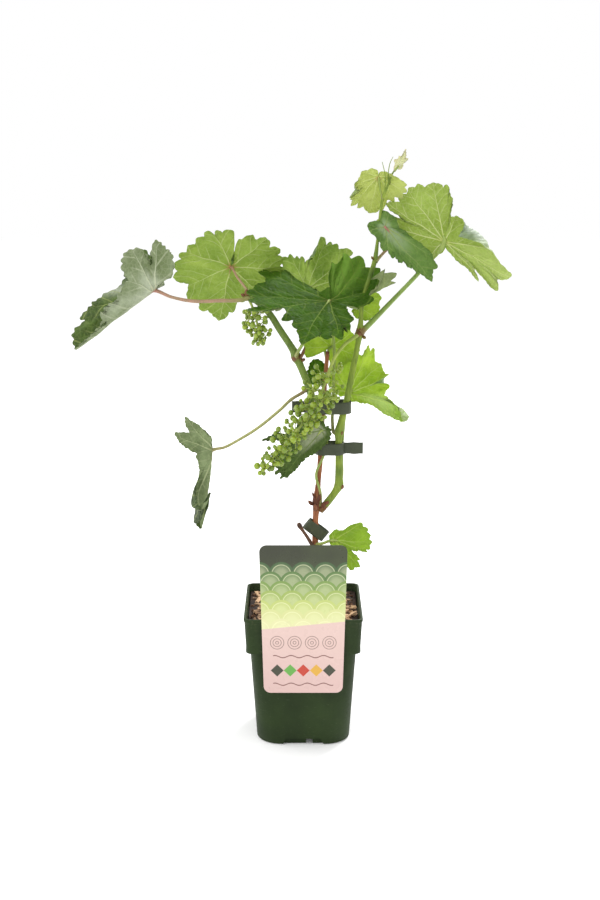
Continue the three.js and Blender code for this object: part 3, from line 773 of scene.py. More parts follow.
class LeafLook(Enum):
    """The finishes that a leaf may wear."""

    BRIGHT = LeafFinish(
        "leaf_bright", "#6a9048", "#507436", "#acc25e", "#84a042", vein_under="#d2da98", heart="#a8604e",
        glow="#c4d840", sheer=0.36, painted_light="#c0cc88",
    )
    LIGHT = LeafFinish(
        "leaf_light", "#7c9a52", "#5f7e3c", "#b8cc74", "#94aa50", vein_under="#e2e6b0", heart="#c8cc84",
        glow="#ccdc4c", sheer=0.42, gloss=0.42, turned="#e2ebe4", painted_light="#dbe6a8",
    )
    PALE = LeafFinish(
        "leaf_pale", "#56702c", "#33481a", "#b4c09e", "#76855a", vein_under="#cdd4b4", heart="#b3a488",
        glow="#a4b25c", sheer=0.24, turned="#b4c0a4", painted_light="#dde3cf", painted_light_at_stalk=0.45,
    )
    WORN = LeafFinish(
        "leaf_worn", "#44601f", "#283c12", "#97a878", "#75855a", vein_under="#b6c092", heart="#a8a078",
        glow="#96a850", sheer=0.24, turned="#4a6424", painted_light="#b4c09c",
    )
    SHADED = LeafFinish(
        "leaf_shaded", "#62783e", "#435a28", "#8a9a66", "#6e8050", vein_upper="#76894e", heart="#76894e",
        glow="#84a038", sheer=0.22, gloss=0.6, shine=0.12, painted_light="#b2b89a", painted_light_at_stalk=0.85,
    )
    DARK = LeafFinish(
        "leaf_dark_green", "#41661a", "#2e4c12", "#a0ac7c", "#848e60", vein_upper="#8a9c4c", heart="#7c7a48",
        glow="#a0c83c", sheer=0.42, gloss=0.6, shine=0.09, painted_light="#7ca044",
    )
    FLAP = LeafFinish(
        "leaf_flap_green", "#729446", "#527432", "#a2b35a", "#8ea050", vein_upper="#90a65e", heart="#9a9a58",
        glow="#a8c23c", sheer=0.34, gloss=0.45, painted_light="#bccca8", painted_light_at_stalk=0.5,
    )
    FRESH = LeafFinish(
        "leaf_fresh", "#8ca83c", "#6f8c30", "#dcf266", "#9cba3c", vein_under="#dce69a", glow="#cfe85c",
        sheer=0.5, gloss=0.42, turned="#ccdacc", painted_light="#ccdca4",
    )
    OLIVE = LeafFinish(
        "leaf_olive", "#5c7a2e", "#344c18", "#bcd26c", "#6f8c3a", vein_under="#c5d08e", heart="#a8b468",
        glow="#b8d43c", sheer=0.4, shine=0.18, painted_light="#c6d872",
    )
    OPENING = LeafFinish(
        "leaf_opening", "#c4c49c", "#b4a488", "#dadcb4", "#c4b49a", vein_under="#e6e8c8", heart="#b8a888",
        glow="#dfe2a8", sheer=0.45,
    )
    YOUNG = LeafFinish(
        "leaf_young", "#9aa670", "#85925c", "#ccd688", "#b0bc6a", vein_under="#dce2a8", heart="#c0a878",
        glow="#dce678", sheer=0.46,
    )


class StalkLook(Enum):
    """The finishes that a leaf stalk may wear."""

    GREEN = StalkFinish("stalk_green", "#8a8a52", "#8ea24c", "#9fae5c")
    RED = StalkFinish("stalk_red", "#8e8a4e", "#a5826a", "#a4645a")
    OLIVE = StalkFinish("stalk_olive", "#86704c", "#a2a266", "#9c8c62")
    STOUT = StalkFinish("stalk_stout", "#7c6034", "#7f9a44", "#9aac58", 0.07)


# --- leaves


@dataclass(frozen=True)
class Roll:
    """A stretch of rim that rolls over, by its place round the leaf."""

    middle: float  # signed angle from the midrib, right above 0
    width: float
    start: float  # part of the way out at which it begins
    turn: float  # degrees, above 0 towards the upper face
    more: float = 0.0  # extra reach that the roll takes up


@dataclass(frozen=True)
class Sweep:
    """A lobe that swings sideways within the blade towards its tip, in degrees."""

    middle: float
    width: float
    turn: float


@dataclass(frozen=True)
class PaintedLightShade:
    """Painted light over a lobe, lighter than the rest of its leaf, or painted shade where its amount is
    below 0.
    """

    middle: float
    width: float
    amount: float


@dataclass(frozen=True)
class Half:
    """Half a leaf: its outline from tip to notch, its curl, its fold and its main veins."""

    outline: list[tuple[float, float]]  # degrees from the midrib, and percent of the length
    curl: float
    fold: float = 0.0
    veins: tuple[float, ...] = (54, 108, 150)
    end: float = 7  # radius at the notch, in percent of the length


@dataclass(frozen=True)
class Teeth:
    """The scallops of a leaf's rim."""

    width: float
    depth: float
    point: float  # 1 for pointed, 2 for round


@dataclass(frozen=True)
class Leaf:
    """One leaf: where it hangs, how it is held, its two halves, its stalk and its looks."""

    name: str
    junction: Point  # where its stalk meets the blade
    tip: Point
    roll: float  # degrees about its midrib
    bend: float  # degrees from the junction to the tip
    left: Half
    right: Half
    stalk: list[Stop]
    look: LeafLook
    stalk_look: StalkLook = StalkLook.GREEN
    teeth: Teeth = Teeth(7.0, 1.9, 1.5)
    bulge: float = 0.9
    rolls: tuple[Roll, ...] = ()
    sweeps: tuple[Sweep, ...] = ()
    # lobes with painted light, and painted shade where an amount is below 0
    tones: tuple[PaintedLightShade, ...] = ()
    ray_step: float = 1.15
    rings: int = 38
    seed: int = 1


@dataclass
class LeafModel:
    """Draws one leaf: a thin closed blade with pillowed tissue and raised veins, and its stalk."""

    spec: Leaf
    thick: float = 0.34
    rib_pitch: float = 0.17  # part of the length between side veins
    curl_blend: float = 50.0  # degrees over which the bend passes into the curl
    crease: float = 0.16  # part of the length over which a fold sets in
    waves: float = 5.0
    wave_height: float = 0.03
    sunk: float = 0.112  # part of the length that the stalk runs under the blade
    steps: int = 40  # steps in which a ray curls

    def __post_init__(self) -> None:
        """Sets up the blade's frame: its start, its length and its three axes."""
        spec = self.spec
        self.start = np.array(spec.junction, float)
        chord = np.array(spec.tip, float) - self.start
        turn = math.radians(spec.bend)
        self.length = np.linalg.norm(chord) * (1 if turn == 0 else turn / 2 / math.sin(turn / 2))
        along = chord / np.linalg.norm(chord)
        normal = np.array([0, -1, 0.2])
        normal = normalised(normal - along * (normal @ along))
        roll = math.radians(spec.roll)
        normal = normal * math.cos(roll) + np.cross(along, normal) * math.sin(roll)
        self.across = np.cross(along, normal)
        half = -turn / 2
        self.along = along * math.cos(half) + np.cross(self.across, along) * math.sin(half)
        self.normal = normal * math.cos(half) + np.cross(self.across, normal) * math.sin(half)

    def _ripples(self, flat: Array, pitch: float, salt: int) -> Array:
        """Unevenness over the flat blade."""
        return ripples(flat[..., 0], flat[..., 1], pitch, self.spec.seed + salt)

    @staticmethod
    def _radius(half: Half, angle: Array) -> Array:
        """The outline's radius, as a part of the length.

        Args:
            half: The half leaf.
            angle: Angles from the midrib.

        Returns:
            A radius for each angle.
        """
        stops = np.array([(0, 100), *half.outline, (180, half.end)]) / [1, 100]
        place = np.clip(np.searchsorted(stops[:, 0], angle), 1, len(stops) - 1)
        low, high = stops[place - 1], stops[place]
        t = (angle - low[:, 0]) / (high[:, 0] - low[:, 0])
        gain = high[:, 1] - low[:, 1]
        soft = (1 - np.cos(np.pi * t)) / 2
        sharp = np.where(gain > 0, np.sin(np.pi / 2 * t), 1 - np.cos(np.pi / 2 * t))
        tooth = np.clip(1.3 - np.abs(gain) / 0.25, 0, 1)
        return low[:, 1] + gain * (soft + tooth * (0.75 * sharp + 0.25 * t - soft))

    def _rim(self) -> tuple[Array, Array, Array]:
        """The rim, with a ray on each main vein.

        Returns:
            Signed angles, base radii, and the teeth's push along the rim's normal.
        """
        dense = np.linspace(0, 180, 1500)
        turns, radii = [], []
        for sign, half in ((-1, self.spec.left), (1, self.spec.right)):
            lengths = walked(headings(dense) * (self.length * self._radius(half, dense))[:, None])
            count = max(12, round(lengths[-1] / self.spec.ray_step))
            angles = np.interp(np.linspace(0, lengths[-1], count + 1), lengths, dense)
            for vein in half.veins:
                angles[1 + np.argmin(np.abs(angles[1:-1] - vein))] = vein
            turns.append(sign * angles)
            radii.append(self.length * self._radius(half, angles))
        signed = np.r_[turns[0][::-1], turns[1][1:-1]]
        reach = np.r_[radii[0][::-1], radii[1][1:-1]]
        flat = headings(signed) * reach[:, None]
        ahead = np.roll(flat, -1, axis=0) - np.roll(flat, 1, axis=0)
        push = normalised(np.stack([ahead[:, 1], -ahead[:, 0]], axis=1))
        walk, teeth = walked(flat), self.spec.teeth
        phase = walk / teeth.width + 0.35 * ripples(walk, walk * 0, teeth.width * 5, self.spec.seed)
        within = np.abs(2 * (phase % 1) - 1) ** teeth.point
        vary = 0.75 + 0.35 * ripples(walk, walk * 0, teeth.width * 3, self.spec.seed + 9)
        calm = smooth(180 - np.abs(signed), 4, 26)
        return signed, reach, push * ((0.6 - within) * teeth.depth * vary * calm)[:, None]

    @staticmethod
    def _near(signed: Array, patch: Roll | Sweep | PaintedLightShade) -> Array:
        """How much of a roll, a sweep or a patch of painted light and shade each ray takes."""
        apart = (signed - patch.middle + 180) % 360 - 180
        return np.exp(-((apart / patch.width) ** 2))[None]

    def _surface(self) -> tuple[Array, Array, Array, Array]:
        """The blade's middle surface.

        Returns:
            Its places, its flat places, the rays' signed angles and the parts of the way out.
        """
        spec = self.spec
        signed, reach, teeth = self._rim()
        parts = np.r_[np.linspace(0.03, 0.985, spec.rings), 1.0][:, None]
        flat = headings(signed)[None] * (reach[None, :] * parts)[..., None]
        flat = flat + teeth[None] * smooth(parts, 0.7, 1.0)[..., None] ** 1.6
        stray = [self._ripples(flat, self.length * 0.55, salt) for salt in (41, 47)]
        stray = np.stack(stray, axis=-1) * self.length * 0.016  # keeps the veins from being straight
        bent = flat + stray * smooth(parts, 0.0, 0.5)[..., None]
        part = np.linalg.norm(bent, axis=2) / reach[None]
        angle = np.degrees(np.arctan2(bent[..., 1], bent[..., 0]))
        for sweep in spec.sweeps:
            angle = angle + sweep.turn * self._near(signed, sweep) * parts**3.5
        angle = np.where(np.abs(signed)[None] > 179.9, signed[None], angle)
        angle = np.where(np.abs(angle - signed[None]) > 180, signed[None], angle)
        return self._held(angle, part, signed, reach), flat, signed, part

    def _held(self, angle: Array, part: Array, signed: Array, reach: Array) -> Array:
        """Places on the curled, waved and folded blade.

        Args:
            angle: Signed angle of each point.
            part: Part of the way out of each point.
            signed: The rays' signed angles.
            reach: The rays' lengths.

        Returns:
            Rows of x, y, z.
        """
        spec = self.spec
        left, steer = angle < 0, np.radians(np.abs(angle))
        own = np.where(left, spec.left.curl, spec.right.curl)
        own = own + (np.mean([spec.left.curl, spec.right.curl]) - own) * smooth(np.abs(angle), 150, 180)
        curl = np.radians(spec.bend + (own - spec.bend) * smooth(np.abs(angle), 0, self.curl_blend))
        out, rise = self._bow(curl, part, signed, reach)
        wave = np.sin(np.radians(angle) * self.waves) * np.sin(steer)
        rise = rise + self.wave_height * self.length * part**2 * wave
        side = out * np.sin(steer)
        fold = np.radians(np.where(left, spec.left.fold, spec.right.fold))
        fold = fold * smooth(side, 0, self.crease * self.length)
        across = side * np.cos(fold) - rise * np.sin(fold)
        up = side * np.sin(fold) + rise * np.cos(fold)
        across = np.where(left, -across, across)
        place = self.start + self.along * (out * np.cos(steer))[..., None]
        return place + self.across * across[..., None] + self.normal * up[..., None]

    def _bow(
        self, curl: Array, part: Array, signed: Array, reach: Array
    ) -> tuple[Array, Array]:
        """How far out and up each point lies once its ray has curled and rolled over.

        Args:
            curl: Turn of each point's ray over its length.
            part: Part of the way out of each point.
            signed: The rays' signed angles.
            reach: The rays' lengths.

        Returns:
            The distances out and up.
        """
        rolls = [(roll, self._near(signed, roll)) for roll in self.spec.rolls]
        extra = sum((roll.more * near for roll, near in rolls), np.zeros((1, len(signed))))
        out, rise = np.zeros((2, *part.shape))
        for step in (np.arange(self.steps) + 0.5) / self.steps:
            here = part * step
            turn = curl * here
            for roll, near in rolls:
                turn = turn + math.radians(roll.turn) * near * smooth(here, roll.start, 1.0)
            scale = reach[None] * (1 + extra * smooth(here, 0.3, 1.0)) * part / self.steps
            out += np.cos(turn) * scale
            rise += np.sin(turn) * scale
        return out, rise

    def _veins(self, flat: Array) -> tuple[Array, Array, Array]:
        """Where points lie among the veins.

        Args:
            flat: The flat points.

        Returns:
            Distance to the nearest main vein, place among the side veins, and nearness to midway.
        """
        spec = self.spec
        gaps, ribs = [], []
        for index, angle in enumerate([0.0, *(-v for v in spec.left.veins), *spec.right.veins]):
            way = headings(angle)
            ahead = flat @ way
            beside = flat[..., 0] * way[1] - flat[..., 1] * way[0]
            gaps.append(np.where(ahead > 0, np.abs(beside), np.hypot(ahead, beside)))
            slant = ahead - 1.05 * np.abs(beside) + 0.3 * beside**2 / self.length
            ribs.append(slant / (self.rib_pitch * self.length) + 0.5 * (beside > 0) + 0.31 * index)
        order = np.argsort(gaps, axis=0)
        best, second = (np.take_along_axis(np.array(gaps), order[i : i + 1], 0)[0] for i in (0, 1))
        rib = np.take_along_axis(np.array(ribs), order[:1], 0)[0]
        return best, rib + 0.22 * self._ripples(flat, self.length * 0.5, 31), best / np.maximum(second, 1e-6)

    def _draw_blade(self, sketch: Sketch) -> None:
        """Adds the blade, in the first material.

        Args:
            sketch: The leaf's sketch.
        """
        spec, scale = self.spec, self.length / 70
        place, flat, signed, part = self._surface()
        best, rib, midway = self._veins(flat)
        around = np.roll(place, -1, axis=1) - np.roll(place, 1, axis=1)
        normal = normalised(np.cross(np.gradient(place, axis=0), around))
        if np.sum(normal[3].mean(0) * self.normal) < 0:
            normal = -normal
        pillow = 1 - np.exp(-((best / 2.6) ** 2))
        between = np.sqrt(np.abs(np.sin(np.pi * rib)) + 1e-6)
        between = 1 - 0.42 * (1 - between) * (1 - smooth(midway, 0.45, 0.95))
        bulge = spec.bulge * 1.25 * pillow * between * smooth(part, 0.02, 0.3)
        swell = 1.3 * self._ripples(flat, self.length * 0.45, 3) * part**1.5
        fine = 0.2 * self._ripples(flat, 5.5, 5)
        middle = place + normal * (bulge + swell * scale + fine)[..., None]
        width = 0.95 * (1 - 0.72 * part) * scale + 0.12
        ridge = 0.75 * width * np.sqrt(np.clip(1 - (best / width) ** 2, 0, 1))
        upper = middle + normal * self.thick / 2
        lower = middle - normal * (self.thick / 2 + ridge)[..., None]
        turned, tone = np.zeros((2, *part.shape))
        for roll in spec.rolls:
            over = self._near(signed, roll) * smooth(part, roll.start, 1.0) * -roll.turn / 90
            turned = np.maximum(turned, smooth(over, 0.3, 0.9))
        # painted light and shade on chosen lobes, carried as the tone value
        for patch in spec.tones:
            tone = tone + patch.amount * self._near(signed, patch) * smooth(part, 0.05, 0.5)
        both = {"across": best, "rib": rib, "reach": part, "midway": midway, "turned": turned, "tone": tone}
        values = {key: np.concatenate([value, value[::-1]]) for key, value in both.items()}
        side = np.repeat([0.0, 1.0], len(upper))[:, None]
        sketch.add_skin(np.concatenate([upper, lower[::-1]]), 0, side=side, **values)

    def _draw_stalk(self, sketch: Sketch) -> None:
        """Adds the stalk, run into the blade, in the second material.

        Args:
            sketch: The leaf's sketch.
        """
        spec, sides = self.spec, 16
        radius = spec.stalk[-1][3]
        low = self.start - self.normal * 0.2
        end = low + self.along * self.length * self.sunk
        path = smooth_path([*spec.stalk, (*low, radius), (*end, radius * 0.3)], 0.9)
        steps = walked(path[:, :3])
        left = steps[-1] - steps
        collar = 1 + 0.45 * np.exp(-((steps / 2.8) ** 2)) + 0.16 * np.exp(-(((left - 9) / 3.5) ** 2))
        groove = 1 - 0.07 * np.cos(circle(sides) * 5 + spec.seed)[None]
        lumps = 1 + 0.035 * ripples(steps, steps * 0, 7, spec.seed + 20)
        rings = tube_rings(path[:, :3], (path[:, 3] * collar)[:, None] * groove * lumps[:, None], sides)
        sketch.add_skin(rings, 1, along=np.linspace(0, 1, len(path))[:, None])

    def build(self, materials: list[Material]) -> None:
        """Builds the leaf and dresses it.

        Args:
            materials: The blade's material and the stalk's.
        """
        sketch = Sketch()
        self._draw_blade(sketch)
        self._draw_stalk(sketch)
        node = self.spec.name
        dress(sketch.to_object(node.replace("leaf", "blade"), materials), "leaf", node)


LEAVES = [
    Leaf(
        "leaf_far_left", (-133, -30, 426), (-202, -38, 375), 92, 0,
        left=Half([(8, 62), (20, 47), (23, 38), (40, 32), (60, 28), (80, 44), (96, 52), (108, 49), (114, 38),
            (120, 32), (124, 48), (128, 55), (140, 48), (150, 44), (158, 38), (163, 30), (170, 16)],
            curl=-12, fold=62, veins=(60, 100, 130)),
        right=Half([(5, 100), (9, 97), (14, 92), (16, 80), (20, 84), (26, 70), (32, 60), (50, 44), (60, 43),
            (68, 42), (78, 52), (92, 54), (100, 52), (108, 57), (116, 42), (121, 36), (126, 52), (136, 50),
            (145, 43), (152, 30), (165, 18)], curl=0, fold=58, veins=(24, 88, 132)),
        stalk=[(-49, -15.5, 418, 2), (-57, -18.5, 416, 1.8), (-74, -22, 416, 1.6), (-98, -26, 416, 1.5),
            (-117, -29, 420, 1.4)],
        look=LeafLook.PALE, stalk_look=StalkLook.RED, teeth=Teeth(6.5, 2.6, 1.2), bulge=1.0, seed=11,
        tones=(PaintedLightShade(-142, 20, -0.9), PaintedLightShade(138, 14, -0.9), PaintedLightShade(98, 10, 0.25), PaintedLightShade(74, 7, -0.5),
            PaintedLightShade(45, 13, 0.5), PaintedLightShade(-20, 16, 0.3)),
    ),
    Leaf(
        "leaf_left", (-66, 12, 443), (-79, 41, 390), 172, -8,
        left=Half([(4, 97), (8, 92), (13, 87), (20, 92), (25, 80), (34, 88), (41, 85), (47, 77), (52, 72),
            (60, 87), (67, 89), (73, 79), (80, 83), (87, 80), (92, 72), (99, 79), (105, 71), (112, 74),
            (118, 65), (127, 70), (133, 64), (141, 75), (147, 74), (150, 66), (156, 73), (161, 64),
            (166, 70), (173, 66)], curl=-14, veins=(50, 105, 150)),
        right=Half([(5, 95), (8, 82), (12, 84), (18, 68), (26, 72), (32, 64), (42, 74), (50, 68), (58, 77),
            (66, 70), (76, 79), (84, 71), (93, 79), (101, 73), (110, 80), (116, 73), (122, 79), (128, 77),
            (133, 68), (141, 74), (147, 74), (153, 60), (160, 65), (166, 60), (171, 50), (175, 50)], curl=8,
            veins=(52, 100, 145)),
        stalk=[(-48.5, -14, 419, 1.7), (-51, -11.5, 424.5, 1.3), (-60, 0, 435, 1.05)],
        look=LeafLook.BRIGHT, stalk_look=StalkLook.RED, teeth=Teeth(6.0, 0.8, 1.5), bulge=1.3, seed=12,
        tones=(PaintedLightShade(4, 16, -0.6), PaintedLightShade(48, 20, -0.45)),
    ),
    Leaf(
        "leaf_centre", (23, -22, 416), (-2, -96, 387), 22, -16,
        left=Half([(5, 90), (10, 77), (15, 93), (19, 78), (25, 92), (29, 60), (32, 80), (35, 68), (40, 64),
            (45, 42), (52, 30), (84, 34), (92, 50), (96, 44), (102, 62), (106, 54), (111, 72), (115, 62),
            (120, 78), (125, 70), (132, 80), (137, 70), (143, 84), (148, 72), (154, 84), (160, 70),
            (166, 78), (173, 66)], curl=6, veins=(24, 80, 140, 166), end=70),
        right=Half([(5, 86), (9, 77), (13, 77), (18, 67), (23, 79), (28, 66), (33, 66), (37, 106), (42, 86),
            (47, 98), (54, 86), (63, 90), (70, 80), (78, 80), (84, 72), (93, 76), (98, 87), (104, 84),
            (112, 92), (118, 84), (123, 90), (128, 50), (138, 20), (158, 20), (166, 55), (171, 52),
            (176, 72)], curl=10, veins=(38, 62, 112), end=70),
        stalk=[(-6, -9, 362, 2), (-6, -17, 367, 1.6), (2, -28, 382, 1.4), (14, -29, 404, 1.3)],
        look=LeafLook.DARK, teeth=Teeth(6.0, 0.9, 1.3), bulge=1.1, seed=13,
        rolls=(Roll(180, 26, 0.0, 62), Roll(-108, 17, 0.3, 80, 0.3)),
        tones=(PaintedLightShade(180, 30, 0.55), PaintedLightShade(-176, 16, 0.4), PaintedLightShade(118, 18, 0.3)),
    ),
    Leaf(
        "leaf_upper", (4, 30, 420.5), (47, 49, 453), 180, -6,
        left=Half([(3, 72), (8, 82), (11, 78), (15, 94), (19, 105), (24, 92), (30, 95), (40, 80), (52, 84),
            (62, 70), (80, 72), (100, 56), (120, 50), (155, 30)], curl=-10, veins=(20, 80, 130)),
        right=Half([(5, 100), (12, 88), (18, 93), (21, 86), (24, 90), (28, 80), (33, 90), (40, 82), (45, 68),
            (48, 54), (57, 42), (61, 55), (66, 50), (70, 56), (74, 53), (79, 63), (84, 60), (90, 67),
            (98, 52), (120, 42), (150, 24)], curl=-10, veins=(31, 78, 135)),
        stalk=[(33, -4, 292, 2), (28.5, -1, 291, 1.7), (27, 1, 300, 1.5), (28, 4, 339, 1.4),
            (27, 11, 382, 1.3), (15, 26, 408, 1.2)],
        look=LeafLook.OLIVE, teeth=Teeth(5.5, 0.9, 1.4), bulge=1.0, seed=14,
        rolls=(Roll(44, 7, 0.45, -120, 0.3),),
        tones=(PaintedLightShade(24, 14, -0.5), PaintedLightShade(-26, 26, 0.55)),
    ),
    Leaf(
        "leaf_small", (50, 11, 407), (72, 26, 414), 180, 0,
        left=Half([(12, 84), (40, 76), (61, 62), (128, 42), (165, 30)], curl=-10),
        right=Half([(12, 94), (30, 70), (60, 56), (110, 45), (150, 30)], curl=-10),
        stalk=[(53, -3, 405, 1.2), (52, 5, 405, 1)],
        look=LeafLook.FRESH, teeth=Teeth(4.5, 1.2, 1.4), bulge=0.4, seed=15, ray_step=0.9, rings=20,
    ),
    Leaf(
        "leaf_middle", (26, 18, 368.5), (45, 23, 381), 180, 0,
        left=Half([(18, 106), (60, 116), (80, 90), (106, 98), (140, 55)], curl=-16),
        right=Half([(40, 95), (90, 100), (137, 110), (168, 114)], curl=-16),
        stalk=[(22.5, 5, 362, 1.3), (23, 9, 366, 1.1)],
        look=LeafLook.FRESH, teeth=Teeth(5.0, 1.3, 1.4), bulge=0.4, seed=16, ray_step=0.9, rings=20,
    ),
    Leaf(
        "leaf_right", (43, 11, 326), (73, 28, 351), 180, -6,
        left=Half([(5, 95), (9, 93), (13, 90), (18, 96), (26, 104), (34, 100), (40, 80), (43, 76), (46, 90),
            (48, 104), (50, 122), (52, 146), (54, 164), (56, 160), (58, 134), (60, 104), (62, 80), (66, 50),
            (75, 36), (100, 24)], curl=-14, veins=(20, 54, 110)),
        right=Half([(4, 98), (8, 94), (12, 104), (17, 118), (20, 106), (24, 117), (27, 88), (32, 90),
            (37, 80), (44, 84), (52, 72), (62, 76), (80, 68), (120, 42), (150, 26)], curl=-10,
            veins=(24, 80, 130)),
        stalk=[(33.6, -4, 242, 2), (36, 1, 250, 1.6), (36, 7, 267, 1.4), (38, 11, 297, 1.3),
            (40, 11, 311, 1.2)],
        look=LeafLook.FRESH, teeth=Teeth(5.0, 0.9, 1.3), seed=17,
        rolls=(Roll(-28, 9, 0.5, -185, 0.5), Roll(-54, 5, 0.72, -150, 0.1)),
        sweeps=(Sweep(-55, 10, -20),),
        tones=(PaintedLightShade(-54, 11, 0.8),),
    ),
    Leaf(
        "leaf_dark", (16, 10, 338), (10, 16, 357), 0, 0,
        left=Half([(29, 75), (64, 50), (120, 34), (150, 30)], curl=-10),
        right=Half([(29, 80), (64, 50), (120, 34), (150, 30)], curl=-10),
        stalk=[(19.5, 4.4, 330, 1.1), (17.5, 8, 334, 0.9)],
        look=LeafLook.DARK, teeth=Teeth(4.5, 1.2, 1.3), bulge=0.4, seed=18, ray_step=0.9, rings=18,
    ),
    Leaf(
        "leaf_behind_bunch", (17, -12.5, 295.5), (-21, -18, 251.5), 0, 0,
        left=Half([(3, 94), (5, 80), (8, 60), (14, 44), (30, 30), (60, 20), (110, 14), (150, 12)], curl=-6,
            veins=(60, 120)),
        right=Half([(3, 90), (6, 102), (9, 90), (13, 96), (17, 88), (21, 92), (26, 78), (31, 62), (35, 64),
            (37, 76), (40, 97), (42, 76), (44, 52), (52, 42), (75, 36), (120, 20), (155, 12)], curl=-6,
            veins=(39, 90)),
        stalk=[(16, -1, 221, 1.6), (16, -5, 235, 1.3), (12, -5, 252, 1.2), (19, -4.6, 270, 1.1),
            (22, -4.4, 284, 1.1)],
        look=LeafLook.SHADED, teeth=Teeth(4.5, 2.4, 1.0), bulge=0.8, seed=19,
    ),
    Leaf(
        "leaf_hanging", (-84, -20, 278), (-94, -24, 206), 90, 10,
        left=Half([(3, 98), (6, 92), (9, 80), (12, 84), (16, 98), (20, 106), (24, 104), (27, 66), (29, 38),
            (36, 28), (50, 22), (80, 20), (92, 22), (100, 36), (104, 42), (110, 52), (115, 60), (119, 52),
            (123, 46), (127, 38), (131, 50), (135, 56), (138, 60), (141, 50), (145, 44), (150, 36),
            (155, 22), (165, 12)], curl=-8, fold=58, veins=(18, 112, 138)),
        right=Half([(4, 102), (8, 98), (11, 84), (14, 70), (18, 50), (24, 38), (34, 30), (45, 26), (60, 20),
            (80, 20), (98, 36), (108, 46), (118, 38), (128, 42), (140, 40), (150, 36), (158, 20), (168, 12)],
            curl=0, fold=62, veins=(14, 108, 140)),
        stalk=[(5, -7, 334, 2), (-1, -9, 330, 1.6), (-11, -10, 324, 1.5), (-22, -12, 314, 1.4),
            (-42, -14, 298, 1.4), (-60, -16, 287, 1.3), (-72, -18, 281, 1.3)],
        look=LeafLook.WORN, stalk_look=StalkLook.OLIVE, teeth=Teeth(4.5, 1.1, 1.3), bulge=0.7, seed=20,
        rolls=(Roll(-21, 5.5, 0.45, -175, 0.1),),
        tones=(PaintedLightShade(-18, 9, -1.0), PaintedLightShade(26, 12, 0.35)),
    ),
    Leaf(
        "leaf_low", (29, -14, 191), (64, -24, 192), 0, -10,
        left=Half([(5, 92), (11, 97), (17, 88), (22, 94), (27, 84), (34, 86), (40, 70), (44, 60), (50, 36),
            (60, 30), (120, 20)], curl=-10, veins=(34, 110)),
        right=Half([(5, 93), (10, 98), (14, 88), (17, 93), (18.5, 70), (22, 68), (24, 44), (29, 60),
            (33, 84), (37, 78), (43, 94), (50, 84), (58, 88), (68, 60), (80, 32), (130, 16)], curl=-10,
            veins=(14, 43, 110)),
        stalk=[(11.3, 0, 183, 1.6), (18, -7, 186, 1.4), (25, -12, 190, 1.2)],
        look=LeafLook.FRESH, teeth=Teeth(4.0, 0.7, 1.3), bulge=0.6, seed=21, rings=26,
    ),
    Leaf(
        "leaf_top", (67, 3, 524), (60, 16, 491), 180, -8,
        left=Half([(4, 96), (8, 94), (12, 86), (18, 98), (22, 86), (29, 102), (33, 88), (37, 92), (41, 75),
            (45, 95), (51, 78), (57, 86), (62, 70), (68, 52), (80, 45), (98, 44), (112, 30), (150, 20)],
            curl=-16, veins=(28, 56, 104)),
        right=Half([(4, 98), (10, 95), (14, 87), (19, 92), (26, 78), (32, 64), (38, 66), (46, 75), (53, 64),
            (58, 72), (63, 84), (70, 74), (76, 82), (83, 70), (90, 74), (97, 52), (110, 38), (128, 28),
            (155, 18)], curl=-14, veins=(48, 74, 110)),
        stalk=[(71, 0, 504, 1), (69, 2, 512, 0.8)],
        look=LeafLook.YOUNG, teeth=Teeth(3.5, 0.5, 1.3), bulge=0.6, seed=22, rings=28, ray_step=0.9,
        rolls=(Roll(-54, 11, 0.45, -130, 0.35),),
    ),
    Leaf(
        "leaf_tip", (84.5, 0.5, 533), (91, -3, 548), 170, -20,
        left=Half([(6, 74), (12, 52), (20, 64), (25, 66), (32, 42), (44, 32), (90, 22), (150, 16)], curl=0,
            fold=35, veins=(22, 110)),
        right=Half([(5, 46), (12, 52), (32, 60), (40, 50), (58, 52), (74, 66), (84, 50), (102, 46),
            (130, 32), (158, 30)], curl=0, fold=45, veins=(33, 74)),
        stalk=[(81, 1, 529, 0.8), (83, 0.6, 531, 0.7)],
        look=LeafLook.OPENING, teeth=Teeth(2.4, 0.8, 1.2), bulge=0.7, seed=23, ray_step=0.5, rings=14,
    ),
    Leaf(
        "leaf_big_right", (128, 10, 466), (116, 6, 518), 180, -14,
        left=Half([(4, 97), (7, 96), (10, 90), (14, 96), (16, 84), (19, 76), (20, 58), (21, 46), (26, 38),
            (34, 45), (40, 50), (46, 50), (52, 54), (62, 60), (72, 67), (82, 76), (92, 88), (99, 98),
            (105, 104), (110, 105), (114, 104), (120, 106), (126, 110), (129, 120), (131, 133), (133, 128),
            (134.5, 108), (136, 112), (138, 124), (140, 112), (141.5, 78), (142.5, 64), (144, 72), (146, 88),
            (148, 90), (150, 72), (152, 54), (156, 40), (164, 24)], curl=-20, veins=(38, 112, 132, 147)),
        right=Half([(5, 98), (9, 96), (14, 106), (18, 103), (22, 110), (27, 103), (32, 112), (36, 102),
            (45, 120), (46.5, 108), (48, 74), (50, 78), (53, 96), (56, 106), (60, 122), (64, 126), (69, 112),
            (74, 108), (80, 84), (88, 66), (108, 36), (124, 38), (146, 24)], curl=-12,
            veins=(24, 44, 63, 120)),
        stalk=[(52, -3, 385, 3), (58, -2, 390, 2.6), (82, 9, 413, 2), (107, 13, 439, 1.9)],
        look=LeafLook.LIGHT, stalk_look=StalkLook.STOUT, teeth=Teeth(5.0, 0.7, 1.2), bulge=1.2, seed=24,
        rolls=(Roll(-86, 34, 0.44, -195, 0.25),),
        sweeps=(Sweep(-138, 3.5, -8), Sweep(-147, 4, -6)),
        tones=(PaintedLightShade(6, 30, -0.3), PaintedLightShade(-128, 24, 0.5)),
    ),
    Leaf(
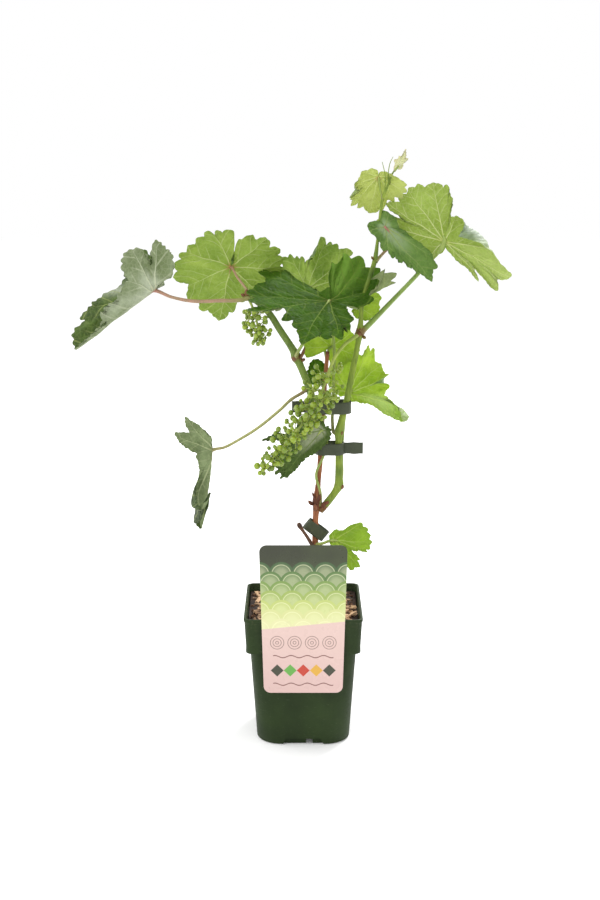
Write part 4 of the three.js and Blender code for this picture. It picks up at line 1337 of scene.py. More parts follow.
        "leaf_flap", (73, -4, 480), (116, -8, 432), 0, -10,
        left=Half([(4, 93), (7, 90), (11, 93), (15, 82), (19, 78), (24, 58), (29, 36), (40, 20), (60, 18),
            (110, 20), (150, 24)], curl=-20, veins=(18, 120)),
        right=Half([(2, 90), (4, 78), (6, 82), (7.5, 66), (10, 70), (12, 50), (17, 56), (20, 42), (27, 44),
            (32, 30), (44, 32), (56, 22), (88, 20), (140, 24)], curl=-12, veins=(30, 120)),
        stalk=[(65, -2, 449, 1.6), (72, 2, 456, 1.3), (80, 3, 465, 1.2), (77, 0, 474, 1.1)],
        look=LeafLook.FLAP, stalk_look=StalkLook.RED, teeth=Teeth(4.5, 0.6, 1.3), bulge=0.8, seed=25,
    ),
    Leaf(
        "leaf_back", (12, 60, 408), (0, 92, 380), 180, -14,
        left=Half([(28, 80), (54, 92), (80, 70), (110, 80), (150, 60)], curl=-14),
        right=Half([(28, 80), (54, 90), (80, 72), (108, 84), (150, 60)], curl=-14),
        stalk=[(21.3, 5, 349, 1.5), (22, 16, 354, 1.4), (18, 32, 374, 1.3), (14, 50, 394, 1.2)],
        look=LeafLook.OLIVE, teeth=Teeth(7.0, 2.0, 1.4), bulge=1.0, seed=26,
    ),
]


def grow_leaves() -> None:
    """Builds every leaf."""
    looks = {look: look.value.build() for look in (*LeafLook, *StalkLook)}
    for leaf in LEAVES:
        LeafModel(leaf).build([looks[leaf.look], looks[leaf.stalk_look]])


# --- stems


@dataclass(frozen=True)
class Bud:
    """A bud or a dry scale on a stem: a pointed, lumpy drop."""

    place: Point
    way: Point
    length: float
    radius: float
    brown: float = 1.0

    def draw(self, sketch: Sketch, seed: int) -> None:
        """Adds the bud.

        Args:
            sketch: The stem's sketch.
            seed: Picks its lumps.
        """
        walk, sides = np.linspace(0, 1, 16), 14
        way = normalised(np.array(self.way, float))
        bow = np.array([0, 0, 0.12 * self.length])
        path = np.array(self.place) + way * (walk * self.length)[:, None] + bow * (walk**2)[:, None]
        profile = self.radius * np.sin(np.pi * np.clip(walk * 0.86 + 0.12, 0, 1)) ** 0.8
        around = circle(sides)[None]
        lumps = ripples(np.cos(around) * 3 + walk[:, None] * 2, np.sin(around) * 3, 2.6, seed)
        rings = tube_rings(path, np.maximum(profile[:, None] * (1 + 0.16 * lumps), 0.05), sides)
        sketch.add_skin(rings, 0, scar=np.full((len(walk), 1), self.brown))


@dataclass(frozen=True)
class Stem:
    """A stem: a skin with ribs, creases and swollen, scarred nodes, and its buds and twigs."""

    name: str
    node: str
    stops: list[Stop]
    slot: str
    finish: StemFinish
    scars: tuple[tuple[float, float, float], ...] = ()  # height, spread, strength
    ribs: int = 9
    rib_depth: float = 0.12
    bark: float = 0.0  # depth of long creases
    seed: int = 1
    sides: int = 36
    buds: tuple[Bud, ...] = ()
    twigs: tuple[list[Stop], ...] = ()

    def _draw_skin(self, sketch: Sketch) -> None:
        """Adds the stem's own skin.

        Args:
            sketch: The stem's sketch.
        """
        path = smooth_path(self.stops, 0.8)
        steps = walked(path[:, :3])[:, None]
        around = circle(self.sides)[None]
        rib = self.rib_depth * np.cos(around * self.ribs)
        turn_x, turn_y = np.cos(around) * 6, np.sin(around) * 6
        creases = ripples(turn_x + steps * 0.05, turn_y + steps * 0.03, 3.2, self.seed)
        strips = ripples(turn_x * 1.7 + steps * 0.11, turn_y * 1.7, 3.0, self.seed + 4)
        bark = self.bark * (0.6 * creases + 0.7 * np.round(strips))
        knots, scar = np.zeros(len(path)), np.zeros(len(path))
        for place, spread, strength in self.scars:
            near = np.exp(-(((path[:, 2] - place) / spread) ** 2))
            knots += 0.22 * near * strength
            scar = np.maximum(scar, near * strength)
        lumps = knots[:, None] * ripples(turn_x, turn_y + steps * 0.8, 4.5, self.seed + 8)
        close = ripples(turn_x * 0.8, turn_y * 0.8 + steps * 0.5, 5.0, self.seed + 2)
        radii = path[:, 3:] + rib * np.minimum(path[:, 3:] / 2, 1) + bark + lumps
        rings = tube_rings(path[:, :3], np.maximum(radii, 0.35), self.sides)
        sketch.add_skin(rings, 0, scar=np.clip(scar[:, None] * (0.8 + 0.4 * close), 0, 1.2))

    def build(self) -> None:
        """Builds the stem and dresses it."""
        sketch = Sketch()
        self._draw_skin(sketch)
        for bud in self.buds:
            bud.draw(sketch, self.seed + 60)
        for stops in self.twigs:
            twig = smooth_path(stops, 0.6)
            sketch.add_skin(tube_rings(twig[:, :3], twig[:, 3], 10), 0, scar=np.zeros((len(twig), 1)))
        dress(sketch.to_object(self.name, [self.finish.build()]), self.slot, self.node)


CANE_FINISH = StemFinish("cane_bark", "#a86c46", "#7c4426", "#4a2818", "#5c3420", 0.72, 0.5, 0.12, 0.35)
TWIG_FINISH = StemFinish("twig_bark", "#6a4e3a", "#4a3428", "#2f2119", "#3a281e", 0.8, 0.4, 0.15, 0.3)
SHOOT_FINISH = StemFinish("shoot_skin", "#869a30", "#526c1c", "#3e5416", "#6a4020", 0.6, 0.25, 0.1, 0.0)
KNEE_FINISH = StemFinish("knee_skin", "#7a9038", "#516a22", "#42561c", "#6a4020", 0.55, 0.3, 0.1, 0.0)

STEMS = [
    Stem(
        "stem_cane", "cane",
        [(10.5, 0, 116.35, 4.4), (11, 0, 124, 3.3), (11.3, 0, 184, 2.8), (12, 0, 214, 2.9),
         (13, 0, 226, 4.2), (13.6, 0.5, 236, 2.7), (15.7, 2, 262, 2.3), (17, 3, 287, 2.2),
         (18.8, 4, 316, 2), (20.7, 5, 345, 1.8), (22.5, 5, 366, 1.5)],
        "old_wood", CANE_FINISH, ((117, 5, 0.9), (225, 7, 0.8), (366, 3, 1.0)), ribs=7, bark=0.22, seed=3,
        buds=(
            Bud((12, -3.4, 217), (-0.2, -0.7, 0.9), 8, 2.3),
            Bud((17.4, -3, 220), (0.5, -0.5, 0.8), 7.5, 2.1),
            Bud((9.2, -1.6, 222), (-0.8, -0.4, 0.7), 6.5, 1.8),
            Bud((14.5, -3.4, 226), (0.2, -0.5, 1), 8, 1.6),
            Bud((21.5, -3.5, 223.5), (0.3, -0.7, 0.5), 5.5, 1.7),
            Bud((11, -2.6, 229), (-0.5, -0.3, 1), 6, 1.2),
        ),
    ),
    Stem(
        "stem_dead_twig", "dead_twig",
        [(11, -1, 178, 1.8), (5, -6, 190, 1.6), (-1, -8.5, 200, 1.5), (-3.6, -9, 204.5, 2.2),
         (-4.2, -9, 206.5, 1.2)],
        "old_wood", TWIG_FINISH, ((204.5, 3, 0.8),), ribs=6, bark=0.16, seed=6, sides=24,
    ),
    Stem(
        "stem_right", "shoot_right",
        [(16, -0.5, 216, 3), (21, -2, 222.5, 3.4), (30, -3, 235, 3.4), (33.3, -4, 242, 4.3),
         (33.2, -4, 250, 3.5), (33, -4, 284, 3.3), (33, -4, 292, 4.1), (34.8, -4, 301, 3.2),
         (39.2, -4, 318, 3), (44.6, -4, 346, 2.8), (50.6, -3, 378, 2.6), (51.6, -3, 385, 3.8),
         (52.2, -3, 393, 2.4), (53.6, -3, 412, 1.9), (64.5, -2, 450, 2.1), (66.7, -2, 467, 1.4),
         (71, 0, 505, 1.15), (75.3, 0, 516, 1.0), (79, 1, 526, 0.75), (84, 1, 533, 0.5)],
        "green_wood", SHOOT_FINISH,
        ((217, 6, 1.0), (242, 3, 0.35), (292, 3, 0.35), (385, 4.5, 1.0), (450, 3, 0.3)), seed=12,
        buds=(
            Bud((50, -5.2, 383), (-0.3, -0.8, 0.3), 4.8, 2.9),
            Bud((54, -4, 381), (0.5, -0.5, -0.2), 4.4, 1.6),
            Bud((35.4, -6.4, 238.5), (0.45, -0.2, 0.9), 4.4, 1.6, 0.9),
            Bud((35, -6.6, 290), (0.3, -0.3, 0.9), 3.8, 1.1, 0.7),
            Bud((63.4, -3, 451), (-0.6, -0.6, 0.6), 4.2, 1.2, 0.5),
            Bud((76.5, -0.8, 517), (0.3, -0.5, 0.8), 3.4, 0.8, 0.3),
        ),
        twigs=(
            [(72, 0, 508, 0.8), (73, -1, 517, 0.55), (72.4, -2, 527, 0.4), (70, -2.4, 537, 0.26)],
            [(76, 0, 518, 0.7), (75.6, -1, 527, 0.45), (77, -1.6, 536, 0.35), (79.6, -1.6, 541.5, 0.22)],
        ),
    ),
    Stem(
        "stem_left", "shoot_left",
        [(18, 3, 296, 2.6), (13, -3, 310, 3), (8, -6, 325, 3.4), (4, -8, 338, 3.4),
         (-4, -9, 358, 3.6), (-6.4, -9, 363, 4.8), (-9, -9.5, 369, 3.5), (-21, -11, 388, 3),
         (-32, -13, 405, 2.8), (-47, -15, 418, 2.6), (-51, -15, 419.5, 3), (-53, -15, 420, 1.6)],
        "green_wood", KNEE_FINISH, ((297, 5, 0.9), (363, 3.5, 0.6), (420, 2, 0.6)), seed=15,
        buds=(
            Bud((-2.6, -12.4, 362), (0.5, -0.2, 1.2), 11, 1.5),
            Bud((-1.8, -11, 360), (0.9, -0.5, 0.4), 4.5, 1.6),
            Bud((-50, -16.4, 420), (-0.2, -0.4, 1), 5.5, 2.5),
            Bud((-52.4, -16, 419.5), (-0.9, -0.2, 0.4), 4, 1.6),
        ),
    ),
]


# --- bunches


def strew(tree: Tree, points: Socket, form: Socket, lean: float, scale: Socket, seed: Socket) -> Socket:
    """A form on every point, turned and toned at random, made real.

    Args:
        tree: The geometry tree.
        points: Where the forms go.
        form: The form.
        lean: How far a form may lean, in radians.
        scale: The size of each.
        seed: Picks the turns and the tones.

    Returns:
        The joined forms.
    """
    turn = {"Min": (-lean, -lean, 0.0), "Max": (lean, lean, 6.28), "Seed": seed}
    rotation = made(tree, "FunctionNodeRandomValue", turn, data_type="FLOAT_VECTOR")
    inputs = {"Points": points, "Instance": form, "Rotation": rotation, "Scale": scale}
    strewn = made(tree, "GeometryNodeInstanceOnPoints", inputs)
    tone = put(tree, "FunctionNodeRandomValue", {"Seed": seed}, data_type="FLOAT").outputs[1]
    stored = {"Geometry": strewn, "Name": "tone", "Value": tone}
    settings = {"data_type": "FLOAT", "domain": "INSTANCE"}
    strewn = made(tree, "GeometryNodeStoreNamedAttribute", stored, **settings)
    return made(tree, "GeometryNodeRealizeInstances", {0: strewn})


def end_tree(tree: Tree, joined: Socket, into: Node, out: Node) -> None:
    """Gives the geometry its material and leads it out."""
    worn = {"Geometry": joined, "Material": into.outputs["Material"]}
    tree.links.new(made(tree, "GeometryNodeSetMaterial", worn), out.inputs[0])


def scatter(source: Object, name: str, tree: Tree, inputs: dict) -> Object:
    """Turns a source and a geometry tree into a plain mesh.

    Args:
        source: The object that the tree works on; it is removed afterwards.
        name: The new piece's name.
        tree: The geometry tree.
        inputs: Values by the tree's input names.

    Returns:
        The new piece.
    """
    modifier = source.modifiers.new(name, "NODES")
    modifier.node_group = tree
    for item in tree.interface.items_tree:
        if item.item_type == "SOCKET" and item.in_out == "INPUT" and item.name in inputs:
            modifier[item.identifier] = inputs[item.name]
    mesh = settled_mesh(source, name)
    bpy.data.objects.remove(source)
    return linked(name, mesh)


def berry_tree() -> Tree:
    """A berry for each point, of the point's own size, turned and toned at random.

    Returns:
        The geometry tree.
    """
    inputs = {"Geometry": "Geometry", "Material": "Material", "Seed": "Int"}
    tree, into, out = tree_start("Geometry", "berries", inputs, {"Geometry": "Geometry"})
    ball = made(tree, "GeometryNodeMeshIcoSphere", {"Radius": 1.0, "Subdivisions": 3})
    size = made(tree, "GeometryNodeInputNamedAttribute", {"Name": "size"}, data_type="FLOAT")
    stretch = made(tree, "ShaderNodeCombineXYZ", {0: 0.94, 1: 0.94, 2: 1.06})
    scaled = made(tree, "ShaderNodeVectorMath", {0: stretch, 3: size}, operation="SCALE")
    joined = strew(tree, into.outputs[0], ball, 0.5, scaled, into.outputs["Seed"])
    end_tree(tree, made(tree, "GeometryNodeSetShadeSmooth", {"Geometry": joined}), into, out)
    return tree


@dataclass(frozen=True)
class Bunch:
    """A bunch of berries round its stalk: how many, how wide they spread, and their sizes."""

    name: str
    node: str
    rachis: list[Stop]
    seed: int
    berries: int
    start: float
    width: float
    taper: float
    size: tuple[float, float]
    branches: int
    shoulder: float = 0.0  # extra width near the stalk


@dataclass
class BunchModel:
    """Draws one bunch: the stalk with its branches and berry stalks, then the berries."""

    spec: Bunch
    core: float = 0.35  # share of the width at the ends of the bunch
    drop: float = 0.62  # how much the berries hang below their root
    centres: list[Array] = field(default_factory=list)
    radii: list[float] = field(default_factory=list)

    def __post_init__(self) -> None:
        """Places the berries by the rule of the solids, with its repeatable numbers."""
        self.state = self.spec.seed * 7919 + 17
        self.path = smooth_path(self.spec.rachis, 0.8)
        self._place()

    def _random(self) -> float:
        """The next number from 0 to 1."""
        self.state = (self.state * 16807) % 2147483647
        return self.state / 2147483647

    def _root(self, place: float) -> Array:
        """The point on the stalk at a part of its length."""
        return self.path[round(place * (len(self.path) - 1)), :3]

    def _place(self) -> None:
        """Fills the bunch with berries that don't touch."""
        spec = self.spec
        tries = 0
        while len(self.centres) < spec.berries and tries < spec.berries * 60:
            tries += 1
            place = spec.start + (1 - spec.start) * self._random()
            swell = math.sin(math.pi * (1 - place) ** spec.taper)
            shoulder = spec.shoulder * (1 - float(smooth(np.float64(place), 0.4, 0.6)))
            reach = (spec.width + shoulder) * (self.core + (1 - self.core) * swell)
            way = np.array([self._random() - 0.5, self._random() - 0.5, self._random() - self.drop])
            distance = reach * (self.core + (1 - self.core) * math.sqrt(self._random()))
            centre = self._root(place) + normalised(way) * distance
            radius = spec.size[0] + (spec.size[1] - spec.size[0]) * self._random() ** 1.5
            if all(np.linalg.norm(o - centre) > r + radius for o, r in zip(self.centres, self.radii)):
                self.centres.append(centre)
                self.radii.append(radius)

    def _draw_branches(self, sketch: Sketch) -> Array:
        """Adds the stalk and its branches.

        Args:
            sketch: The bunch's sketch.

        Returns:
            The points that berry stalks may spring from.
        """
        spec, sides = self.spec, 12
        ribs = 1 + 0.08 * np.cos(circle(sides) * 4)[None]
        sketch.add_skin(tube_rings(self.path[:, :3], self.path[:, 3:] * 0.85 * ribs, sides))
        anchors = list(self.path[round(spec.start * 0.9 * len(self.path)) :: 3, :3])
        centres = np.array(self.centres)
        for i in range(spec.branches):
            root = self._root(spec.start + (0.96 - spec.start) * i / max(1, spec.branches - 1))
            near = centres[np.argsort(np.linalg.norm(centres - root, axis=1))[:12]]
            side = math.radians(137.5 * i)
            want = root + np.array([math.cos(side), math.sin(side), -0.1]) * spec.width
            end = near[np.argmin(np.linalg.norm(near - want, axis=1))]
            end = root + (end - root) * 0.62
            path = smooth_path([root, (root + end) / 2 + [0, 0, 1.2], end], 0.9)
            sketch.add_skin(tube_rings(path, np.linspace(0.75, 0.5, len(path)), 8))
            anchors += list(path[len(path) // 3 :: 2])
        return np.array(anchors)

    def _draw_stalks(self, sketch: Sketch) -> None:
        """Adds the branches and a short stalk for each berry.

        Args:
            sketch: The bunch's sketch.
        """
        anchors = self._draw_branches(sketch)
        for centre, radius in zip(self.centres, self.radii):
            foot = anchors[np.argmin(np.linalg.norm(anchors - centre, axis=1))]
            path = smooth_path([foot, (foot + centre) / 2 + [0, 0, 0.8], centre], 0.8)
            swell = smooth(np.linspace(0, 1, len(path)), 0.45, 1.0) * min(1.0, radius / 2.4)
            sketch.add_skin(tube_rings(path, 0.36 + 0.25 * swell, 7))

    def build(self, stalk: Material, berry: Material, tree: Tree) -> None:
        """Builds the stalks and the berries and dresses them.

        Args:
            stalk: The stalks' material.
            berry: The berries' material.
            tree: The berries' geometry tree.
        """
        spec = self.spec
        sketch = Sketch()
        self._draw_stalks(sketch)
        dress(sketch.to_object(f"{spec.name}_stalks", [stalk]), "berries", spec.node)
        cloud = bpy.data.meshes.new(f"{spec.name}_points")
        cloud.from_pydata((np.array(self.centres) * MM).tolist(), [], [])
        layer = cloud.attributes.new("size", "FLOAT", "POINT")
        layer.data.foreach_set("value", (np.array(self.radii) * MM).astype(np.float32))
        source = linked(f"{spec.name}_source", cloud)
        inputs = {"Material": berry, "Seed": spec.seed}
        dress(scatter(source, f"{spec.name}_berries", tree, inputs), "berries", spec.node)


RACHIS_FINISH = StemFinish("rachis_skin", "#a8b65a", "#8a9c40", "#7c8c3a", "#8a7a44", 0.55, 0.15, 0.2, 0.0)
BERRY_FINISH = BerryFinish("berry_skin", "#8aa024", "#667e1e")

BUNCHES = [
    Bunch(
        "grapes_large", "bunch_large",
        [(51, -4, 384, 2.6), (45, -14, 381, 2.1), (38, -20, 377, 1.9), (28, -26, 365, 1.9),
         (22, -30, 350, 1.8), (17, -33, 337, 1.6), (2, -35, 310, 1.4), (-17, -35, 287, 1.1),
         (-38, -34, 263, 0.8)],
        3, 185, 0.34, 15.5, 0.8, (1.75, 3.2), 26, 6.0,
    ),
    Bunch(
        "grapes_small", "bunch_small",
        [(-50, -15, 419, 1.4), (-45, -14, 407, 1.1), (-41, -14, 391, 1), (-40, -14, 377, 0.8)],
        8, 64, 0.42, 14.5, 1.0, (1.6, 2.8), 9,
    ),
]


def hang_bunches() -> None:
    """Builds both bunches."""
    stalk, berry, tree = RACHIS_FINISH.build(), BERRY_FINISH.build(), berry_tree()
    for bunch in BUNCHES:
        BunchModel(bunch).build(stalk, berry, tree)


# --- pot


def square_ring(half: float, radius: float, z: float, corner: int = 10) -> Array:
    """A rounded square at a height.

    Args:
        half: Half its width.
        radius: Corner radius.
        z: Height.
        corner: Points in each corner.

    Returns:
        Rows of x, y, z.
    """
    radius = max(radius, 0.3)
    rows = []
    for quarter in range(4):
        centre = (half - radius) * np.array([1 if quarter in (0, 3) else -1, 1 if quarter < 2 else -1])
        angles = math.pi / 2 * (quarter + np.linspace(0, 1, corner))
        rows.append(centre + radius * np.stack([np.cos(angles), np.sin(angles)], axis=1))
    flat = np.vstack(rows)
    return np.column_stack([flat, np.full(len(flat), z)])


@dataclass(frozen=True)
class Pot:
    """The nursery pot: a moulded shell with a rolled rim, cut by its slots, recesses and drains."""

    height: float = 127
    rim_half: float = 55
    collar_half: float = 53.2
    collar_height: float = 34
    shoulder_half: float = 49.2
    base_half: float = 44
    rim_radius: float = 7
    shoulder_radius: float = 9
    base_radius: float = 24
    wall: float = 1.5
    collar_wall: float = 2.1
    floor: float = 7.2
    edge: float = 1.1  # rounding round the base
    recess: tuple[float, float, float] = (39, 5.5, 3.2)  # width, height and depth, at the foot of each side
    drain: tuple[float, float, float, float] = (6, 15, 34, 5.7)  # width, start, end and offset of each groove
    slot: tuple[float, float, float] = (29, 4, 9)  # width, height and distance below the rim
    sharp: float = 38  # degrees past which an edge stays sharp
    finish: PlasticFinish = PlasticFinish(
        "pot_plastic_green", "#2a3a1b", "#202d15", 0.46, dust_from=112, shine=0.16
    )

    @property
    def foot(self) -> float:
        """Height of the collar's lower edge."""
        return self.height - self.collar_height

    def body(self, z: float) -> tuple[float, float]:
        """The body's size at a height.

        Args:
            z: The height.

        Returns:
            Half width and corner radius.
        """
        t = z / self.foot
        half = self.base_half + (self.shoulder_half - self.base_half) * t
        return half, self.base_radius + (self.shoulder_radius - self.base_radius) * t

    def collar(self, z: float) -> float:
        """Half width of the collar at a height."""
        return self.collar_half + (self.rim_half - self.collar_half) * (z - self.foot) / self.collar_height

    def _outside(self) -> list[Array]:
        """The outer side, from the base up to the rim.

        Returns:
            Rings of x, y, z.
        """
        foot, top, radius = self.foot, self.height, self.rim_radius
        rings = [square_ring(self.base_half - self.edge, self.base_radius - self.edge, 0.0)]
        for z, back in ((0.25, 0.45), (self.edge, 0.0)):
            half, corner = self.body(z)
            rings.append(square_ring(half - back, corner - back, z))
        rings += [square_ring(*self.body(z), z) for z in np.linspace(8, foot - 0.8, 12)]
        half, corner = self.body(foot)
        collar = self.collar(foot)
        step = (
            (half + 0.15, corner, -0.2), (half + 0.8, corner - 0.4, 0), (collar - 0.7, radius, 0),
            (collar - 0.15, radius, 0.2), (collar, radius, 0.8),
        )
        rings += [square_ring(wide, turn, foot + rise) for wide, turn, rise in step]
        heights = np.linspace(foot + 6, top - 4.2, 5)
        rings += [square_ring(self.collar(z) - 0.5, radius - 0.4, z) for z in heights]
        lip = ((0.45, 0.3, 3.4), (0.05, 0, 2.9), (0, 0, 0.9), (0.25, 0.2, 0.25), (0.8, 0.7, 0))
        rings += [square_ring(self.rim_half - back, radius - less, top - drop) for back, less, drop in lip]
        return rings

    def _inside(self) -> list[Array]:
        """The inner side, from the rim down to the floor.

        Returns:
            Rings of x, y, z.
        """
        lip, radius = self.rim_half - self.collar_wall, self.rim_radius - self.collar_wall
        ledge = self.foot + 2
        rings = [
            square_ring(lip, radius, self.height - 0.1), square_ring(lip - 0.3, radius, self.height - 0.7),
            square_ring(self.collar(ledge) - self.collar_wall, radius, ledge),
        ]
        for z, less in ((self.foot - 1, 0), (self.foot / 2, 0), (self.floor + 1.5, 0), (self.floor, 1.2)):
            half, corner = self.body(z)
            rings.append(square_ring(half - self.wall - less, corner - self.wall - less, z))
        return rings

    def _cutters(self) -> Sketch:
        """What is cut away on each side: a recess, a slot, a drain groove and a drain hole.

        Returns:
            The sketch of all the cutting shapes.
        """
        width, high, depth = self.recess
        drain, start, end, offset = self.drain
        slot_width, slot_height, below = self.slot
        across, up = np.array([(-1, -1), (1, -1), (1, 1), (-1, 1)]).T
        level, turns = np.zeros(4), circle(20)
        half = width / 2
        notch = np.array([(-half, 0, -1), (half, 0, -1), (half - depth, 0, high), (depth - half, 0, high)])
        window = np.column_stack([across * slot_width / 2, level, self.height - below + up * slot_height / 2])
        groove = np.column_stack([offset + across * drain / 2, level, high / 2 - 1 + up * high / 2])
        hole_y = -start - drain / 2 + drain / 2 * np.sin(turns)
        hole = np.column_stack([offset + drain / 2 * np.cos(turns), hole_y, np.zeros(20)])
        front = depth - self.base_half
        prisms = (
            (notch, (0, front, 0), (0, front - 12, 0)),
            (window, (0, -self.rim_half - 6, 0), (0, -self.rim_half + 6, 0)),
            (groove, (0, -start, 0), (0, -end - 12, 0)),
            (hole, (0, 0, -2), (0, 0, 10)),
        )
        cutters = Sketch()
        for quarter in range(4):
            cos, sin = math.cos(math.pi / 2 * quarter), math.sin(math.pi / 2 * quarter)
            spin = np.array([[cos, -sin, 0], [sin, cos, 0], [0, 0, 1]])
            for ring, first, last in prisms:
                cutters.add_skin(np.array([ring + first, ring + last]) @ spin.T)
        return cutters

    def build(self) -> None:
        """Moulds the shell, cuts it and dresses it."""
        shell = Sketch()
        shell.add_skin(np.array(self._outside() + self._inside()))
        blank = shell.to_object("pot_shell", [])
        tool = self._cutters().to_object("pot_tool", [])
        cut = blank.modifiers.new("cut", "BOOLEAN")
        cut.operation = "DIFFERENCE"
        cut.solver = "EXACT"
        cut.use_self = True
        cut.object = tool
        mesh = settled_mesh(blank, "pot_body")
        mesh.set_sharp_from_angle(angle=math.radians(self.sharp))
        mesh.materials.clear()
        mesh.materials.append(self.finish.build())
        bpy.data.objects.remove(blank)
        bpy.data.objects.remove(tool)
        dress(linked("pot_body", mesh), "pot_plastic", "pot")


POT = Pot()


# --- soil


def chip_tree() -> Tree:
    """Chips laid flat over a surface, each of its own size, turn and tone.

    Returns:
        The geometry tree.
    """
    sizes = {"Density": "Float", "Length": "Float", "Thickness": "Float"}
    inputs = {"Geometry": "Geometry", "Material": "Material", "Seed": "Int", **sizes}
    tree, into, out = tree_start("Geometry", "chips", inputs, {"Geometry": "Geometry"})
    seed, length = into.outputs["Seed"], into.outputs["Length"]
    spread = {"Mesh": into.outputs[0], "Density": into.outputs["Density"], "Seed": seed}
    points = made(tree, "GeometryNodeDistributePointsOnFaces", spread)
    block = made(tree, "GeometryNodeMeshCube", {"Vertices X": 4, "Vertices Y": 3, "Vertices Z": 3})
    position = made(tree, "GeometryNodeInputPosition")
    settings = {"Vector": position, "Scale": 1.9, "Detail": 1.0}
    rough = put(tree, "ShaderNodeTexNoise", settings).outputs["Color"]
    centred = made(tree, "ShaderNodeVectorMath", {0: rough, 1: (0.5, 0.5, 0.5)}, operation="SUBTRACT")
    pushed = made(tree, "ShaderNodeVectorMath", {0: centred, 3: 1.1}, operation="SCALE")
    block = made(tree, "GeometryNodeSetPosition", {"Geometry": block, "Offset": pushed})
    slim = made(tree, "ShaderNodeMath", {0: length, 1: 0.34}, operation="MULTIPLY")
    form = made(tree, "ShaderNodeCombineXYZ", {0: length, 1: slim, 2: into.outputs["Thickness"]})
    vary = put(tree, "FunctionNodeRandomValue", {2: 0.4, 3: 1.25, "Seed": seed}, data_type="FLOAT").outputs[1]
    scaled = made(tree, "ShaderNodeVectorMath", {0: form, 3: vary}, operation="SCALE")
    end_tree(tree, strew(tree, points, block, 0.4, scaled, seed), into, out)
    return tree


@dataclass(frozen=True)
class Layer:
    """A layer of bits over the soil."""

    name: str
    finish: SoilFinish
    seed: int
    density: float  # bits to a square metre
    length: float
    thickness: float


@dataclass(frozen=True)
class Soil:
    """The soil: an uneven bed, heaped towards the back, under bark chips and crumbs."""

    top: float = 115.2
    inset: float = 2.4
    rise: float = 0.05  # slope towards the back
    spread: float = 0.97  # part of the bed that the bits lie on
    finish: SoilFinish = SoilFinish("soil_peat", "#442e20", "#1a100b", 90.0)
    layers: tuple[Layer, ...] = (
        Layer("soil_chips", SoilFinish("soil_bark", "#d4b08a", "#3a2216", 110.0), 5, 42000.0, 10.0, 2.2),
        Layer("soil_crumbs", SoilFinish("soil_crumb", "#6c4c36", "#20140c", 110.0), 8, 50000.0, 3.4, 1.7),
    )

    def _heap(self, ring: Array) -> Array:
        """How much higher the soil lies at each point of a ring."""
        return self.rise * (ring[:, 1] + POT.rim_half)

    def _bed(self) -> Sketch:
        """The bed, down to the floor of the pot.

        Returns:
            The sketch of the bed.
        """
        corner, bevel = 24, 0.6
        rings = []
        for part in np.linspace(0.02, 1, 44):
            half = POT.collar(self.top) - self.inset - bevel
            ring = square_ring(half, POT.rim_radius - self.inset, self.top, corner)
            ring[:, :2] *= part
            x, y = ring[:, 0], ring[:, 1]
            lift = 1.1 * ripples(x, y, 16, 4) + 0.5 * ripples(x, y, 5, 7)
            ring[:, 2] += lift * min(1.0, (1 - part) * 8 + 0.25) - bevel + self._heap(ring)
            rings.append(ring)
        ledge = POT.foot + 3.5
        half = POT.collar(ledge) - self.inset - bevel
        rings.append(square_ring(half, POT.rim_radius - self.inset, ledge + 1, corner))
        for z, level, less in ((ledge, POT.foot, 0), (80, 80, 0), (9, 9, 1)):
            half, radius = POT.body(level)
            rings.append(square_ring(half - self.inset - less, radius - self.inset - less, z, corner))
        bed = Sketch()
        bed.add_skin(np.array(rings), tone=0.3)
        return bed

    def _strew(self, layer: Layer, tree: Tree) -> None:
        """Strews a layer over a thin patch, keeps the bits alone and dresses them.

        Args:
            layer: The layer's sizes.
            tree: The chips' geometry tree.
        """
        half = (POT.collar(self.top) - self.inset) * self.spread - layer.length / 2
        ring = square_ring(half, POT.rim_radius, self.top)
        ring[:, 2] += self._heap(ring)
        patch = Sketch()
        patch.add_skin(np.array([ring, ring - [0, 0, 0.01]]))
        source = patch.to_object(f"{layer.name}_source", [])
        upper = [face.vertices[:] for face in source.data.polygons if face.normal.z > 0.5]
        keep = bpy.data.meshes.new(f"{layer.name}_patch")
        keep.from_pydata([vertex.co[:] for vertex in source.data.vertices], [], upper)
        source.data = keep
        inputs = {
            "Material": layer.finish.build(), "Seed": layer.seed, "Density": layer.density,
            "Length": layer.length * MM, "Thickness": layer.thickness * MM,
        }
        dress(scatter(source, layer.name, tree, inputs), "soil", "soil")

    def build(self) -> None:
        """Builds the bed and its layers."""
        dress(self._bed().to_object("soil_bed", [self.finish.build()]), "soil", "soil")
        tree = chip_tree()
        for layer in self.layers:
            self._strew(layer, tree)


# --- card


